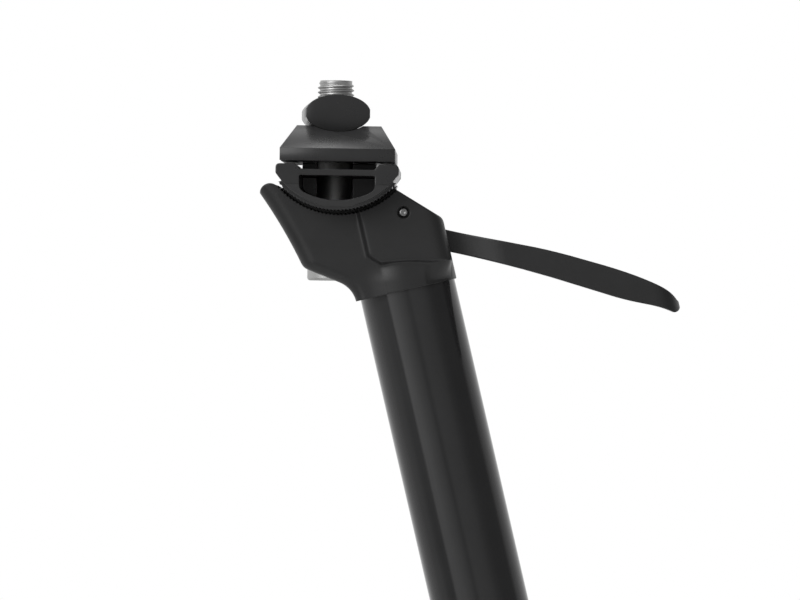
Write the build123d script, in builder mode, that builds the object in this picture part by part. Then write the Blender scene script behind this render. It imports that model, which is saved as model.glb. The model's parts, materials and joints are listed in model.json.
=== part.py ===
from build123d import *
import os
from math import asin, cos, degrees, radians, sin, sqrt

os.makedirs("parts", exist_ok=True)

# A dropper seatpost with 100 mm of travel, worked by a lever under the saddle.
# +Z runs up the post, +X points forward to the lever, +Y is the rider's left.
# The origin is on the post's axis, at the lower end of the outer tube.
# All lengths are in millimetres.

# Outer tube and travel
post_diameter = 30.9
post_wall = 1.5
insert_length = 218.0
travel = 100.0
thread_length = 14.0
thread_depth = 0.3

# Stanchion, the sliding inner tube
stanchion_diameter = 26.0
stanchion_wall = 2.0
bottom_room = 25.0
head_room = 4.0

# Fits
running_gap = 0.05
free_gap = 0.3
loose_gap = 0.5
overrun = 2.0

# Collar and what it holds
collar_diameter = 36.0
collar_height = 26.0
collar_bevel = 1.8
grip_flutes = 24
flute_radius = 1.3
flute_depth = 0.5
wiper_height = 5.0
wiper_lip = 2.0
wiper_wall = 2.95
lip_wall = 0.8
foam_height = 4.0
foam_wall = 2.0
shelf_height = 1.0
bushing_length = 18.0
bushing_split = 1.5
o_ring_wire = 1.6
groove_slack = 0.2

# Guide keys
key_count = 3
key_width = 3.0
key_length = 18.0
key_pocket_depth = 0.8
key_bite = 0.65
key_slot_depth = 0.75
key_rise = 25.0

# Bottom cap and rod
cap_flange = 3.0
cap_edge = 0.35
cap_plug = 12.0
cap_round = 1.0
cap_groove_height = 8.0
nut_well_depth = 8.0
nut_well_radius = 7.0
nut_flats = 10.0
nut_height = 5.0
stud_diameter = 6.0
stud_end = 1.0
rod_diameter = 8.0
bumper_height = 12.5
bumper_wall = 7.0

# Cartridge
cartridge_bore = 9.0
cartridge_wall = 1.0
cylinder_bore = 6.2
cylinder_wall = 0.8
retainer_height = 6.0
retainer_gap = 2.0
gland_height = 17.0
gland_recess = 2.0
piston_height = 12.0
piston_gap = 10.0
top_bumper_wall = 1.7
piston_stud = 2.5
seal_height = 2.4
valve_height = 28.0
valve_recess = 3.0
valve_room = 10.0
floating_height = 10.0
floating_gap = 2.0
valve_bore = 2.5
poppet_radius = 3.6
poppet_height = 3.0
spring_radius = 2.7
spring_wire = 0.7
spring_turns = 5
spring_length = 7.0
spring_well = 3.6
stem_radius = 1.25
stem_collar_height = 1.6

# Head, forged
skirt_wall = 0.6
rim_overlap = 2.2
spigot_length = 26.0
spigot_bore = 12.0
arm_width = 25.0
cheek_width = 29.2
corner_round = 4.5
seat_back = 8.4
seat_rear_angle = 64.0
seat_front_angle = 33.0
horn_thickness = 4.9
horn_round = 1.9
heel_back = 25.9
heel_height = 12.0
spine_bow = 0.5
neck_foot = 14.1
neck_back = 17.2
neck_height = 5.9
throat_back = 15.1
throat_height = 3.6
brow_front = 12.6
brow_height = 17.5
brow_drop = 1.6
brow_share = 0.32
spine_round = 4.0
heel_round = 3.0
panel_back = 8.6
panel_low_back = 7.9
panel_low_front = 4.8
panel_corner = 3.0
panel_slope_width = 1.0
panel_slope_depth = 2.0

# Lever and its pin
pin_forward = 3.7
pin_drop = 24.3
pin_radius = 1.4
pin_recess = 0.8
pin_dome = 0.9
pin_ring = 0.3
boss_radius = 3.0
lever_width = 8.0
paddle_width = 13.0
lever_play = 0.7
lever_reach = 57.0
lever_drop = 29.4
lever_root_drop = 13.1
lever_root_depth = 6.2
nose_radius = 1.2
nose_drop = 2.4
cavity_back = 3.0
cavity_rise_back = 0.8
cavity_depth = 12.9
mouth_depth = 14.8

# Plunger that the lever presses
button_radius = 2.6
button_height = 7.0
button_gap = 0.15
button_round = 0.6
shank_radius = 2.0
shank_length = 14.0
guide_radius = 4.0
guide_flange = 0.8
guide_length = 10.0

# Saddle clamp, in its own directions: forward along the rails, and up
clamp_tilt_angle = 13.9
rail_spacing = 44.0
rail_diameter = 7.0
rail_edge = 1.5
rail_level = 8.1
cradle_radius = 20.7
cradle_length = 32.6
ear_length = 6.3
ear_gap = 0.3
ear_round = 1.0
ear_chamfer = 1.1
ear_face_level = 13.8
bar_drop = 1.4
bar_height = 1.6
window_level = 17.9
window_round = 2.7
window_corner = 2.2
lip_radius = 19.6
lip_inset = 3.0
web_thickness = 4.0
rib_width = 16.0
rib_rise = 0.5
rib_end_angle = 4.0
tooth_pitch_angle = 2.8
tooth_depth = 0.4
tooth_gap = 0.6
tooth_span_angle = 51.0
clamp_length = 30.5
clamp_top_length = 22.6
clamp_top_width = 24.0
clamp_face_level = 4.25
clamp_top_level = 2.2
clamp_split = 0.55
nut_length = 24.0
nut_width = 17.2
nut_flat = 0.2
nut_thickness = 10.05
nut_level = 5.6
nut_turn_angle = 4.6

# Clamp bolt, M10 with a 1.25 mm pitch
bolt_diameter = 9.85
bolt_pitch = 1.25
bolt_head_radius = 7.0
bolt_head_height = 10.0
bolt_head_round = 0.8
bolt_offset = -1.3
bolt_tip_level = 14.7
hex_flats = 8.0
hex_depth = 5.0
threaded_length = 20.0
crest_depth = 0.65
bolt_hole_gap = 0.3
washer_radius = 7.4
washer_depth = 2.3
arm_depth = 27.0
tilt_down_angle = 8.0
tilt_up_angle = 12.0
slot_slack = 0.6
pocket_slack = 0.4
pocket_floor = 4.1
head_room_below = 1.08

# The clamp is wide enough for both rails, and the bolt reaches through the arm and washer
clamp_width = rail_spacing + rail_diameter + 2 * rail_edge
bolt_length = bolt_tip_level + arm_depth + washer_depth

# Height of the seat's centre above the rim: the bolt's head just clears the pocket
bolt_foot = bolt_tip_level - bolt_length - bolt_head_height
bolt_corner = bolt_offset + bolt_head_radius
bolt_reach = bolt_corner * sin(radians(clamp_tilt_angle)) - bolt_foot * cos(radians(clamp_tilt_angle))
seat_height = pocket_floor + head_room_below + bolt_reach

# Heights above the rim of the lever's pin, its nose, and its room in the head
pin_height = seat_height - pin_drop
nose_height = pin_height - nose_drop
cavity_roof_back = pin_height + cavity_rise_back
cavity_floor = pin_height - cavity_depth
mouth_floor = pin_height - mouth_depth

# Levels along the post
post_radius = post_diameter / 2
tube_bore = post_radius - post_wall
stanchion_radius = stanchion_diameter / 2
stanchion_bore = stanchion_radius - stanchion_wall
collar_top = insert_length + collar_height
tube_top = insert_length + thread_length
rim = collar_top + travel + head_room
stanchion_bottom = travel + bottom_room
stanchion_top = rim + rim_overlap
spigot_bottom = rim - spigot_length
skirt_radius = stanchion_radius + skirt_wall
head_front = skirt_radius
cartridge_radius = cartridge_bore + cartridge_wall
cylinder_radius = cylinder_bore + cylinder_wall
retainer_bottom = stanchion_bottom + retainer_gap
cartridge_bottom = retainer_bottom + retainer_height
gland_top = cartridge_bottom + gland_height
cylinder_bottom = gland_top - gland_recess
piston_bottom = gland_top + piston_gap
valve_bottom = spigot_bottom - valve_room - valve_height + valve_recess
valve_top = valve_bottom + valve_height
cylinder_top = valve_bottom + valve_recess
rod_radius = rod_diameter / 2
stud_radius = stud_diameter / 2
o_ring_radius = o_ring_wire / 2
groove_depth = o_ring_wire
groove_width = o_ring_wire + groove_slack

# Outer tube: the part that the frame's seat tube holds
with BuildPart() as lower_tube:
    with BuildSketch(Plane.XY):
        Circle(post_radius)
        Circle(tube_bore, mode=Mode.SUBTRACT)
    extrude(amount=insert_length)
    with BuildSketch(Plane.XY.offset(insert_length)):
        Circle(post_radius - thread_depth)
        Circle(tube_bore, mode=Mode.SUBTRACT)
    extrude(amount=thread_length)
    key_slot_bottom = bottom_room + overrun
    key_slot_top = stanchion_bottom + key_rise + key_length + key_rise
    with BuildSketch(Plane.XY.offset(key_slot_bottom)):
        with PolarLocations(tube_bore, key_count):
            Rectangle(2 * key_slot_depth, key_width + 2 * running_gap)
    extrude(amount=key_slot_top - key_slot_bottom, mode=Mode.SUBTRACT)
lower_tube.part.label = "lower_tube"
export_step(lower_tube.part, "parts/lower_tube.step")

# Collar: screwed over the tube's thread, it holds the wiper and the foam ring
collar_radius = collar_diameter / 2
collar_bore = post_radius - thread_depth
passage = stanchion_radius + free_gap
foam_radius = stanchion_radius + foam_wall
wiper_radius = stanchion_radius + running_gap + wiper_wall
wiper_bottom = collar_top - wiper_height
foam_bottom = wiper_bottom - shelf_height - foam_height
with BuildPart() as collar:
    with BuildSketch(Plane.XZ):
        with BuildLine():
            Polyline(
                (collar_bore, insert_length),
                (collar_radius - collar_bevel, insert_length),
                (collar_radius, insert_length + collar_bevel),
                (collar_radius, collar_top - 2 * collar_bevel),
                (collar_radius - collar_bevel, collar_top),
                (wiper_radius, collar_top),
                (wiper_radius, wiper_bottom),
                (passage, wiper_bottom),
                (passage, wiper_bottom - shelf_height),
                (foam_radius, wiper_bottom - shelf_height),
                (foam_radius, foam_bottom),
                (passage, foam_bottom),
                (passage, tube_top),
                (collar_bore, tube_top),
                close=True,
            )
        make_face()
    revolve(axis=Axis.Z)
    flute_circle = collar_radius + flute_radius - flute_depth
    with BuildSketch(Plane.XY.offset(insert_length - overrun)):
        with PolarLocations(flute_circle, grip_flutes):
            Circle(flute_radius)
    extrude(amount=collar_height - collar_bevel, mode=Mode.SUBTRACT)
    ring_groove_level = insert_length + groove_width
    with BuildSketch(Plane.XY.offset(ring_groove_level)):
        Circle(collar_bore + groove_depth / 2)
        Circle(collar_bore - overrun, mode=Mode.SUBTRACT)
    extrude(amount=groove_width, mode=Mode.SUBTRACT)
collar.part.label = "collar"
export_step(collar.part, "parts/collar.step")

# Thin O-ring that stops the collar from creeping loose
collar_ring_wire = groove_depth / 4
with BuildPart() as collar_o_ring:
    with BuildSketch(Plane.XZ):
        with Locations((collar_bore + collar_ring_wire, ring_groove_level + groove_width / 2)):
            Circle(collar_ring_wire)
    revolve(axis=Axis.Z)
collar_o_ring.part.label = "collar_o_ring"
export_step(collar_o_ring.part, "parts/collar_o_ring.step")

# Rubber wiper with a lip that rises above the collar
with BuildPart() as wiper_seal:
    wiper_bore = stanchion_radius + running_gap
    with BuildSketch(Plane.XZ):
        with BuildLine():
            Polyline(
                (wiper_bore + lip_wall, wiper_bottom),
                (wiper_radius, wiper_bottom),
                (wiper_radius, collar_top),
                (wiper_bore + 2 * lip_wall, collar_top),
                (wiper_bore + lip_wall, collar_top + wiper_lip),
                (wiper_bore, collar_top + wiper_lip),
                (wiper_bore, collar_top),
                (wiper_bore + lip_wall / 2, collar_top - lip_wall),
                (wiper_bore, collar_top - 2 * lip_wall),
                (wiper_bore + lip_wall / 2, collar_top - 3 * lip_wall),
                close=True,
            )
        make_face()
    revolve(axis=Axis.Z)
wiper_seal.part.label = "wiper_seal"
export_step(wiper_seal.part, "parts/wiper_seal.step")

# Oiled foam ring under the wiper
with BuildPart() as foam_ring:
    with BuildSketch(Plane.XY.offset(foam_bottom)):
        Circle(foam_radius)
        Circle(stanchion_radius + running_gap, mode=Mode.SUBTRACT)
    extrude(amount=foam_height)
foam_ring.part.label = "foam_ring"
export_step(foam_ring.part, "parts/foam_ring.step")

# Split plastic sleeve at the tube's mouth, in which the stanchion slides
with BuildPart() as upper_bushing:
    with BuildSketch(Plane.XY.offset(tube_top - bushing_length)):
        Circle(tube_bore)
        Circle(stanchion_radius + running_gap, mode=Mode.SUBTRACT)
        with Locations((-stanchion_radius, 0)):
            Rectangle(2 * post_wall + overrun, bushing_split, mode=Mode.SUBTRACT)
    extrude(amount=bushing_length)
upper_bushing.part.label = "upper_bushing"
export_step(upper_bushing.part, "parts/upper_bushing.step")

# Bottom cap: closes the tube and carries the rod
with BuildPart() as bottom_cap:
    with BuildSketch(Plane.XY.offset(-cap_flange)):
        Circle(post_radius - cap_edge)
    extrude(amount=cap_flange)
    fillet(bottom_cap.edges().group_by(Axis.Z)[0], radius=cap_round)
    with BuildSketch(Plane.XY):
        Circle(tube_bore)
    extrude(amount=cap_plug)
    with BuildSketch(Plane.XY.offset(cap_groove_height)):
        Circle(tube_bore + overrun)
        Circle(tube_bore - groove_depth, mode=Mode.SUBTRACT)
    extrude(amount=groove_width, mode=Mode.SUBTRACT)
    with BuildSketch(Plane.XY.offset(-cap_flange)):
        Circle(nut_well_radius)
    extrude(amount=nut_well_depth, mode=Mode.SUBTRACT)
    with BuildSketch(Plane.XY):
        Circle(stud_radius)
    extrude(amount=cap_plug, mode=Mode.SUBTRACT)
bottom_cap.part.label = "bottom_cap"
export_step(bottom_cap.part, "parts/bottom_cap.step")

# O-ring of the bottom cap
with BuildPart() as cap_o_ring:
    with BuildSketch(Plane.XZ):
        with Locations((tube_bore - o_ring_radius, cap_groove_height + groove_width / 2)):
            Circle(o_ring_radius)
    revolve(axis=Axis.Z)
cap_o_ring.part.label = "cap_o_ring"
export_step(cap_o_ring.part, "parts/cap_o_ring.step")

# Piston rod, with a threaded stud at each end
nut_seat = nut_well_depth - cap_flange
with BuildPart() as piston_rod:
    with BuildSketch(Plane.XY.offset(nut_seat - nut_height - stud_end)):
        Circle(stud_radius)
    extrude(amount=cap_plug - nut_seat + nut_height + stud_end)
    with BuildSketch(Plane.XY.offset(cap_plug)):
        Circle(rod_radius)
    extrude(amount=piston_bottom - cap_plug)
    with BuildSketch(Plane.XY.offset(piston_bottom)):
        Circle(piston_stud)
    extrude(amount=piston_height)
piston_rod.part.label = "piston_rod"
export_step(piston_rod.part, "parts/piston_rod.step")

# Hexagon nut that holds the rod in the bottom cap
with BuildPart() as rod_end_nut:
    with BuildSketch(Plane.XY.offset(nut_seat - nut_height)):
        RegularPolygon(nut_flats / 2, 6, major_radius=False)
        Circle(stud_radius, mode=Mode.SUBTRACT)
    extrude(amount=nut_height)
rod_end_nut.part.label = "rod_end_nut"
export_step(rod_end_nut.part, "parts/rod_end_nut.step")

# Elastomer bumper on the bottom cap, which ends the downward travel softly
with BuildPart() as bottom_out_bumper:
    with BuildSketch(Plane.XY.offset(cap_plug)):
        Circle(rod_radius + bumper_wall)
        Circle(rod_radius, mode=Mode.SUBTRACT)
    extrude(amount=bumper_height - free_gap)
bottom_out_bumper.part.label = "bottom_out_bumper"
export_step(bottom_out_bumper.part, "parts/bottom_out_bumper.step")

# Piston on the rod's upper end
piston_radius = cylinder_bore - 2 * running_gap
seal_groove = piston_bottom + (piston_height - seal_height) / 2
with BuildPart() as piston:
    with BuildSketch(Plane.XY.offset(piston_bottom)):
        Circle(piston_radius)
        Circle(piston_stud, mode=Mode.SUBTRACT)
    extrude(amount=piston_height)
    with BuildSketch(Plane.XY.offset(seal_groove)):
        Circle(cylinder_bore + overrun)
        Circle(piston_radius - seal_height / 2, mode=Mode.SUBTRACT)
    extrude(amount=seal_height, mode=Mode.SUBTRACT)
piston.part.label = "piston"
export_step(piston.part, "parts/piston.step")

# Square seal in the piston's groove
with BuildPart() as piston_seal:
    with BuildSketch(Plane.XY.offset(seal_groove)):
        Circle(cylinder_bore - running_gap)
        Circle(piston_radius - seal_height / 2, mode=Mode.SUBTRACT)
    extrude(amount=seal_height)
piston_seal.part.label = "piston_seal"
export_step(piston_seal.part, "parts/piston_seal.step")

# Rubber ring under the piston, which ends the upward travel softly
with BuildPart() as top_out_bumper:
    with BuildSketch(Plane.XY.offset(cylinder_bottom + free_gap)):
        Circle(rod_radius + top_bumper_wall)
        Circle(rod_radius, mode=Mode.SUBTRACT)
    extrude(amount=piston_bottom - cylinder_bottom - free_gap)
top_out_bumper.part.label = "top_out_bumper"
export_step(top_out_bumper.part, "parts/top_out_bumper.step")

# Stanchion
key_bottom = stanchion_bottom + key_rise
with BuildPart() as stanchion:
    with BuildSketch(Plane.XY.offset(stanchion_bottom)):
        Circle(stanchion_radius)
        Circle(stanchion_bore, mode=Mode.SUBTRACT)
    extrude(amount=stanchion_top - stanchion_bottom)
    with BuildSketch(Plane.XY.offset(key_bottom)):
        with PolarLocations(stanchion_radius, key_count):
            Rectangle(2 * key_pocket_depth, key_width)
    extrude(amount=key_length, mode=Mode.SUBTRACT)
stanchion.part.label = "stanchion"
export_step(stanchion.part, "parts/stanchion.step")

# Three brass keys that stop the stanchion from turning in the tube
key_inner = stanchion_radius - key_pocket_depth
key_outer = tube_bore + key_bite
with BuildPart() as guide_keys:
    with BuildSketch(Plane.XY.offset(key_bottom)):
        with PolarLocations((key_inner + key_outer) / 2, key_count):
            Rectangle(key_outer - key_inner, key_width)
    extrude(amount=key_length)
guide_keys.part.label = "guide_keys"
export_step(guide_keys.part, "parts/guide_keys.step")

# Split plastic sleeve on the stanchion's lower end, sliding in the tube
with BuildPart() as lower_bushing:
    with BuildSketch(Plane.XY.offset(stanchion_bottom + retainer_gap)):
        Circle(tube_bore - running_gap)
        Circle(stanchion_radius, mode=Mode.SUBTRACT)
        with Locations((-stanchion_radius, 0)):
            Rectangle(2 * post_wall + overrun, bushing_split, mode=Mode.SUBTRACT)
    extrude(amount=bushing_length)
lower_bushing.part.label = "lower_bushing"
export_step(lower_bushing.part, "parts/lower_bushing.step")

# Threaded ring that holds the cartridge up in the stanchion
with BuildPart() as cartridge_retainer:
    with BuildSketch(Plane.XY.offset(retainer_bottom)):
        Circle(stanchion_bore)
        Circle(rod_radius + loose_gap, mode=Mode.SUBTRACT)
    extrude(amount=retainer_height)
cartridge_retainer.part.label = "cartridge_retainer"
export_step(cartridge_retainer.part, "parts/cartridge_retainer.step")

# Outer tube of the hydraulic cartridge
with BuildPart() as cartridge_tube:
    with BuildSketch(Plane.XY.offset(cartridge_bottom)):
        Circle(cartridge_radius)
        Circle(cartridge_bore, mode=Mode.SUBTRACT)
    extrude(amount=spigot_bottom - cartridge_bottom)
cartridge_tube.part.label = "cartridge_tube"
export_step(cartridge_tube.part, "parts/cartridge_tube.step")

# Inner cylinder, in which the piston works
with BuildPart() as cartridge_cylinder:
    with BuildSketch(Plane.XY.offset(cylinder_bottom)):
        Circle(cylinder_radius)
        Circle(cylinder_bore, mode=Mode.SUBTRACT)
    extrude(amount=cylinder_top - cylinder_bottom)
cartridge_cylinder.part.label = "cartridge_cylinder"
export_step(cartridge_cylinder.part, "parts/cartridge_cylinder.step")

# Gland at the cartridge's lower end, through which the rod slides
gland_mid = cartridge_bottom + gland_height / 2
rod_seal_outer = rod_radius + seal_height
with BuildPart() as rod_gland:
    with BuildSketch(Plane.XY.offset(cartridge_bottom)):
        Circle(cartridge_bore)
        Circle(rod_radius + running_gap, mode=Mode.SUBTRACT)
    extrude(amount=gland_height)
    with BuildSketch(Plane.XY.offset(cylinder_bottom)):
        Circle(cylinder_radius)
    extrude(amount=gland_recess, mode=Mode.SUBTRACT)
    with BuildSketch(Plane.XY.offset(gland_mid - seal_height)):
        Circle(rod_seal_outer)
    extrude(amount=seal_height, mode=Mode.SUBTRACT)
    with BuildSketch(Plane.XY.offset(gland_mid - groove_width / 2)):
        Circle(cartridge_bore + overrun)
        Circle(cartridge_bore - groove_depth, mode=Mode.SUBTRACT)
    extrude(amount=groove_width, mode=Mode.SUBTRACT)
rod_gland.part.label = "rod_gland"
export_step(rod_gland.part, "parts/rod_gland.step")

# Seal round the rod, inside the gland
with BuildPart() as rod_seal:
    with BuildSketch(Plane.XY.offset(gland_mid - seal_height)):
        Circle(rod_seal_outer)
        Circle(rod_radius + running_gap, mode=Mode.SUBTRACT)
    extrude(amount=seal_height)
rod_seal.part.label = "rod_seal"
export_step(rod_seal.part, "parts/rod_seal.step")

# O-ring between the gland and the cartridge's outer tube
with BuildPart() as gland_o_ring:
    with BuildSketch(Plane.XZ):
        with Locations((cartridge_bore - o_ring_radius, gland_mid)):
            Circle(o_ring_radius)
    revolve(axis=Axis.Z)
gland_o_ring.part.label = "gland_o_ring"
export_step(gland_o_ring.part, "parts/gland_o_ring.step")

# Valve body at the cartridge's upper end, with ports to the outer chamber
spring_seat = valve_top - spring_well
with BuildPart() as valve_body:
    with BuildSketch(Plane.XY.offset(valve_bottom)):
        Circle(cartridge_bore)
        Circle(valve_bore, mode=Mode.SUBTRACT)
    extrude(amount=valve_height)
    with BuildSketch(Plane.XY.offset(valve_bottom)):
        Circle(cylinder_radius)
    extrude(amount=valve_recess, mode=Mode.SUBTRACT)
    with BuildSketch(Plane.XY.offset(spring_seat)):
        Circle(spring_well)
    extrude(amount=spring_well, mode=Mode.SUBTRACT)
    port_radius = valve_bore / 2
    port_level = cylinder_top + 2 * valve_bore
    with BuildSketch(Plane.YZ):
        with Locations((0, port_level)):
            Circle(port_radius)
    extrude(amount=cartridge_radius, both=True, mode=Mode.SUBTRACT)
    relief = cartridge_bore - cylinder_radius
    with BuildSketch(Plane.XY.offset(valve_bottom)):
        Circle(cartridge_bore + overrun)
        Circle(cartridge_bore - relief / 2, mode=Mode.SUBTRACT)
    extrude(amount=port_level + 2 * port_radius - valve_bottom, mode=Mode.SUBTRACT)
valve_body.part.label = "valve_body"
export_step(valve_body.part, "parts/valve_body.step")

# Poppet that shuts the valve body's bore from below
poppet_top = cylinder_top - button_gap
with BuildPart() as valve_poppet:
    with BuildSketch(Plane.XY.offset(poppet_top - poppet_height)):
        Circle(poppet_radius)
    extrude(amount=poppet_height)
    fillet(valve_poppet.edges().group_by(Axis.Z)[0], radius=poppet_height / 3)
    with BuildSketch(Plane.XY.offset(poppet_top - poppet_height)):
        Circle(stem_radius)
    extrude(amount=poppet_height, mode=Mode.SUBTRACT)
valve_poppet.part.label = "valve_poppet"
export_step(valve_poppet.part, "parts/valve_poppet.step")

# Head levels
seat_x = -seat_back
seat_z = rim + seat_height
button_top = rim + nose_height - nose_radius - button_gap
button_bottom = button_top - button_height
shank_bottom = button_bottom - shank_length
guide_top = rim + cavity_floor + guide_flange

# Button under the lever's nose, with its shank
with BuildPart() as plunger_button:
    with BuildSketch(Plane.XY.offset(button_bottom)):
        Circle(button_radius)
    extrude(amount=button_height)
    fillet(plunger_button.edges().group_by(Axis.Z)[-1], radius=button_round)
    with BuildSketch(Plane.XY.offset(shank_bottom)):
        Circle(shank_radius)
    extrude(amount=shank_length)
plunger_button.part.label = "plunger_button"
export_step(plunger_button.part, "parts/plunger_button.step")

# Long thin rod from the shank down to the poppet, with the spring's collar
spring_top = spring_seat + spring_length
with BuildPart() as actuator_rod:
    with BuildSketch(Plane.XY.offset(poppet_top - poppet_height)):
        Circle(stem_radius)
    extrude(amount=shank_bottom - poppet_top + poppet_height)
    with BuildSketch(Plane.XY.offset(spring_top)):
        Circle(spring_well)
    extrude(amount=stem_collar_height)
actuator_rod.part.label = "actuator_rod"
export_step(actuator_rod.part, "parts/actuator_rod.step")

# Small coil spring that lifts the actuator rod and shuts the valve
spring_rise = spring_length - spring_wire
with BuildPart() as valve_spring:
    with BuildLine(Plane.XY.offset(spring_seat + spring_wire / 2)):
        spring_line = Helix(spring_rise / spring_turns, spring_rise, spring_radius)
    with BuildSketch(Plane(origin=spring_line @ 0, z_dir=spring_line % 0)):
        Circle(spring_wire / 2)
    sweep(path=spring_line)
valve_spring.part.label = "valve_spring"
export_step(valve_spring.part, "parts/valve_spring.step")

# Ring-shaped floating piston between the cylinder and the cartridge's tube
floating_top = valve_bottom - floating_gap
with BuildPart() as floating_piston:
    with BuildSketch(Plane.XY.offset(floating_top - floating_height)):
        Circle(cartridge_bore - running_gap)
        Circle(cylinder_radius + running_gap, mode=Mode.SUBTRACT)
    extrude(amount=floating_height)
floating_piston.part.label = "floating_piston"
export_step(floating_piston.part, "parts/floating_piston.step")

# Front block of the head, a raised cheek on each side of the lever's slot
seat_radius = cradle_radius + tooth_gap + tooth_depth
front_sin = sin(radians(seat_front_angle))
front_cos = cos(radians(seat_front_angle))
seat_front_x = seat_x + seat_radius * front_sin
seat_front_z = seat_height - seat_radius * front_cos
cheek_side = cheek_width / 2
panel_outline = (
    (-panel_back, rim + seat_height),
    (-panel_back, rim + panel_low_back + panel_corner),
    (-panel_back + panel_corner, rim + panel_low_back),
    (head_front, rim + panel_low_front),
)
with BuildPart() as head_cheeks:
    with BuildSketch(Plane.XZ):
        Polygon(*panel_outline, (head_front, rim + seat_height), align=None)
    extrude(amount=cheek_side, both=True)
    front_edges = head_cheeks.edges().filter_by(Axis.Z).group_by(Axis.X)[-1]
    fillet(front_edges, radius=corner_round)
    for start, end in zip(panel_outline, panel_outline[1:]):
        run = Vector(end[0] - start[0], 0, end[1] - start[1])
        slope_section = Plane(origin=(start[0], 0, start[1]), x_dir=(0, 1, 0), z_dir=run)
        for side in (-1, 1):
            with BuildSketch(slope_section.offset(-cheek_width)):
                Polygon(
                    (side * cheek_side, panel_slope_width),
                    (side * (cheek_side - panel_slope_depth), 0),
                    (side * (cheek_side - panel_slope_depth), -overrun),
                    (side * (cheek_side + overrun), -overrun),
                    (side * (cheek_side + overrun), panel_slope_width),
                    align=None,
                )
            extrude(amount=run.length + 2 * cheek_width, mode=Mode.SUBTRACT)

# Head: skirt, arm and cheeks, cut to the side outline
rear_sin = sin(radians(seat_rear_angle))
rear_cos = cos(radians(seat_rear_angle))
seat_rear = (seat_x - seat_radius * rear_sin, seat_z - seat_radius * rear_cos)
seat_front = (seat_front_x, rim + seat_front_z)
horn_rear = (seat_rear[0] - horn_thickness, seat_rear[1] - horn_round / 2)
horn_tip = (seat_rear[0] - horn_thickness / 2, seat_rear[1] + horn_round / 2)
heel = (-heel_back, rim + heel_height)
neck = (-neck_back, rim + neck_height)
throat = (-throat_back, rim + throat_height)
brow = (brow_front, rim + brow_height)
arm_side = arm_width / 2
pin_z = rim + pin_height
guide_bottom = guide_top - guide_length
least_tilt = clamp_tilt_angle - tilt_down_angle
most_tilt = clamp_tilt_angle + tilt_up_angle
slot_half = bolt_diameter / 2 + slot_slack
pocket_half = washer_radius + pocket_slack


def clamp_point(tilt, forward, up):
    """A point of the clamp, in the post's side view, with the clamp at a tilt."""
    angle = radians(tilt)
    return (
        seat_x + forward * cos(angle) + up * sin(angle),
        seat_z - forward * sin(angle) + up * cos(angle),
    )


# Teeth of the head's seat, a slot for the tilting bolt and a pocket for its head
seat_teeth = [(seat_x, seat_z)]
seat_tooth_count = round((seat_rear_angle + seat_front_angle) / tooth_pitch_angle) + 2
for tooth in range(2 * seat_tooth_count + 1):
    tooth_angle = radians(seat_rear_angle + tooth_pitch_angle - tooth * tooth_pitch_angle / 2)
    reach = seat_radius - tooth_depth * (tooth % 2)
    seat_teeth.append((seat_x - reach * sin(tooth_angle), seat_z - reach * cos(tooth_angle)))
rib_radius = cradle_radius - rib_rise
root_radius_head = seat_radius + tooth_depth
rib_rear_angle = seat_rear_angle - rib_end_angle
rib_middle_angle = (rib_rear_angle - seat_front_angle) / 2
rib_rear = clamp_point(rib_rear_angle, 0, -rib_radius)
rib_mid = clamp_point(rib_middle_angle, 0, -rib_radius)
rib_front = clamp_point(-seat_front_angle, 0, -rib_radius)
rib_rear_root = clamp_point(rib_rear_angle, 0, -root_radius_head)
rib_mid_root = clamp_point(rib_middle_angle, 0, -root_radius_head)
rib_front_root = clamp_point(-seat_front_angle, 0, -root_radius_head)
slot_front = bolt_offset + slot_half
slot_rear = bolt_offset - slot_half
bolt_slot = (
    clamp_point(least_tilt, slot_front, -cradle_radius + overrun),
    clamp_point(least_tilt, slot_front, -arm_depth - overrun),
    clamp_point(most_tilt, slot_rear, -arm_depth - overrun),
    clamp_point(most_tilt, slot_rear, -cradle_radius + overrun),
)
pocket_front_u = bolt_offset + pocket_half
pocket_rear_u = bolt_offset - pocket_half
front_reach = degrees(asin(pocket_front_u / arm_depth))
rear_reach = degrees(asin(-pocket_rear_u / arm_depth))
pocket_front = clamp_point(least_tilt - front_reach, 0, -arm_depth)
pocket_rear = clamp_point(most_tilt + rear_reach, 0, -arm_depth)
pocket_mid = clamp_point((least_tilt - front_reach + most_tilt + rear_reach) / 2, 0, -arm_depth)
pocket_mouth = clamp_point(most_tilt, pocket_rear_u, -seat_height)
pocket_bottom = rim + pocket_floor
pocket_heel = (-skirt_radius - arm_width, pocket_bottom)
foot_drop = (seat_z - pocket_bottom - pocket_front_u * sin(radians(least_tilt))) / cos(radians(least_tilt))
pocket_foot = clamp_point(least_tilt, pocket_front_u, -foot_drop)
mouth_front = head_front + overrun
cavity_roof = pin_z + boss_radius + lever_play
lever_cavity = (
    (-cavity_back, rim + cavity_floor),
    (-cavity_back, rim + cavity_roof_back),
    (pin_forward, cavity_roof),
    (mouth_front, cavity_roof),
    (mouth_front, rim + mouth_floor),
    (head_front - corner_round, rim + cavity_floor),
)
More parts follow.
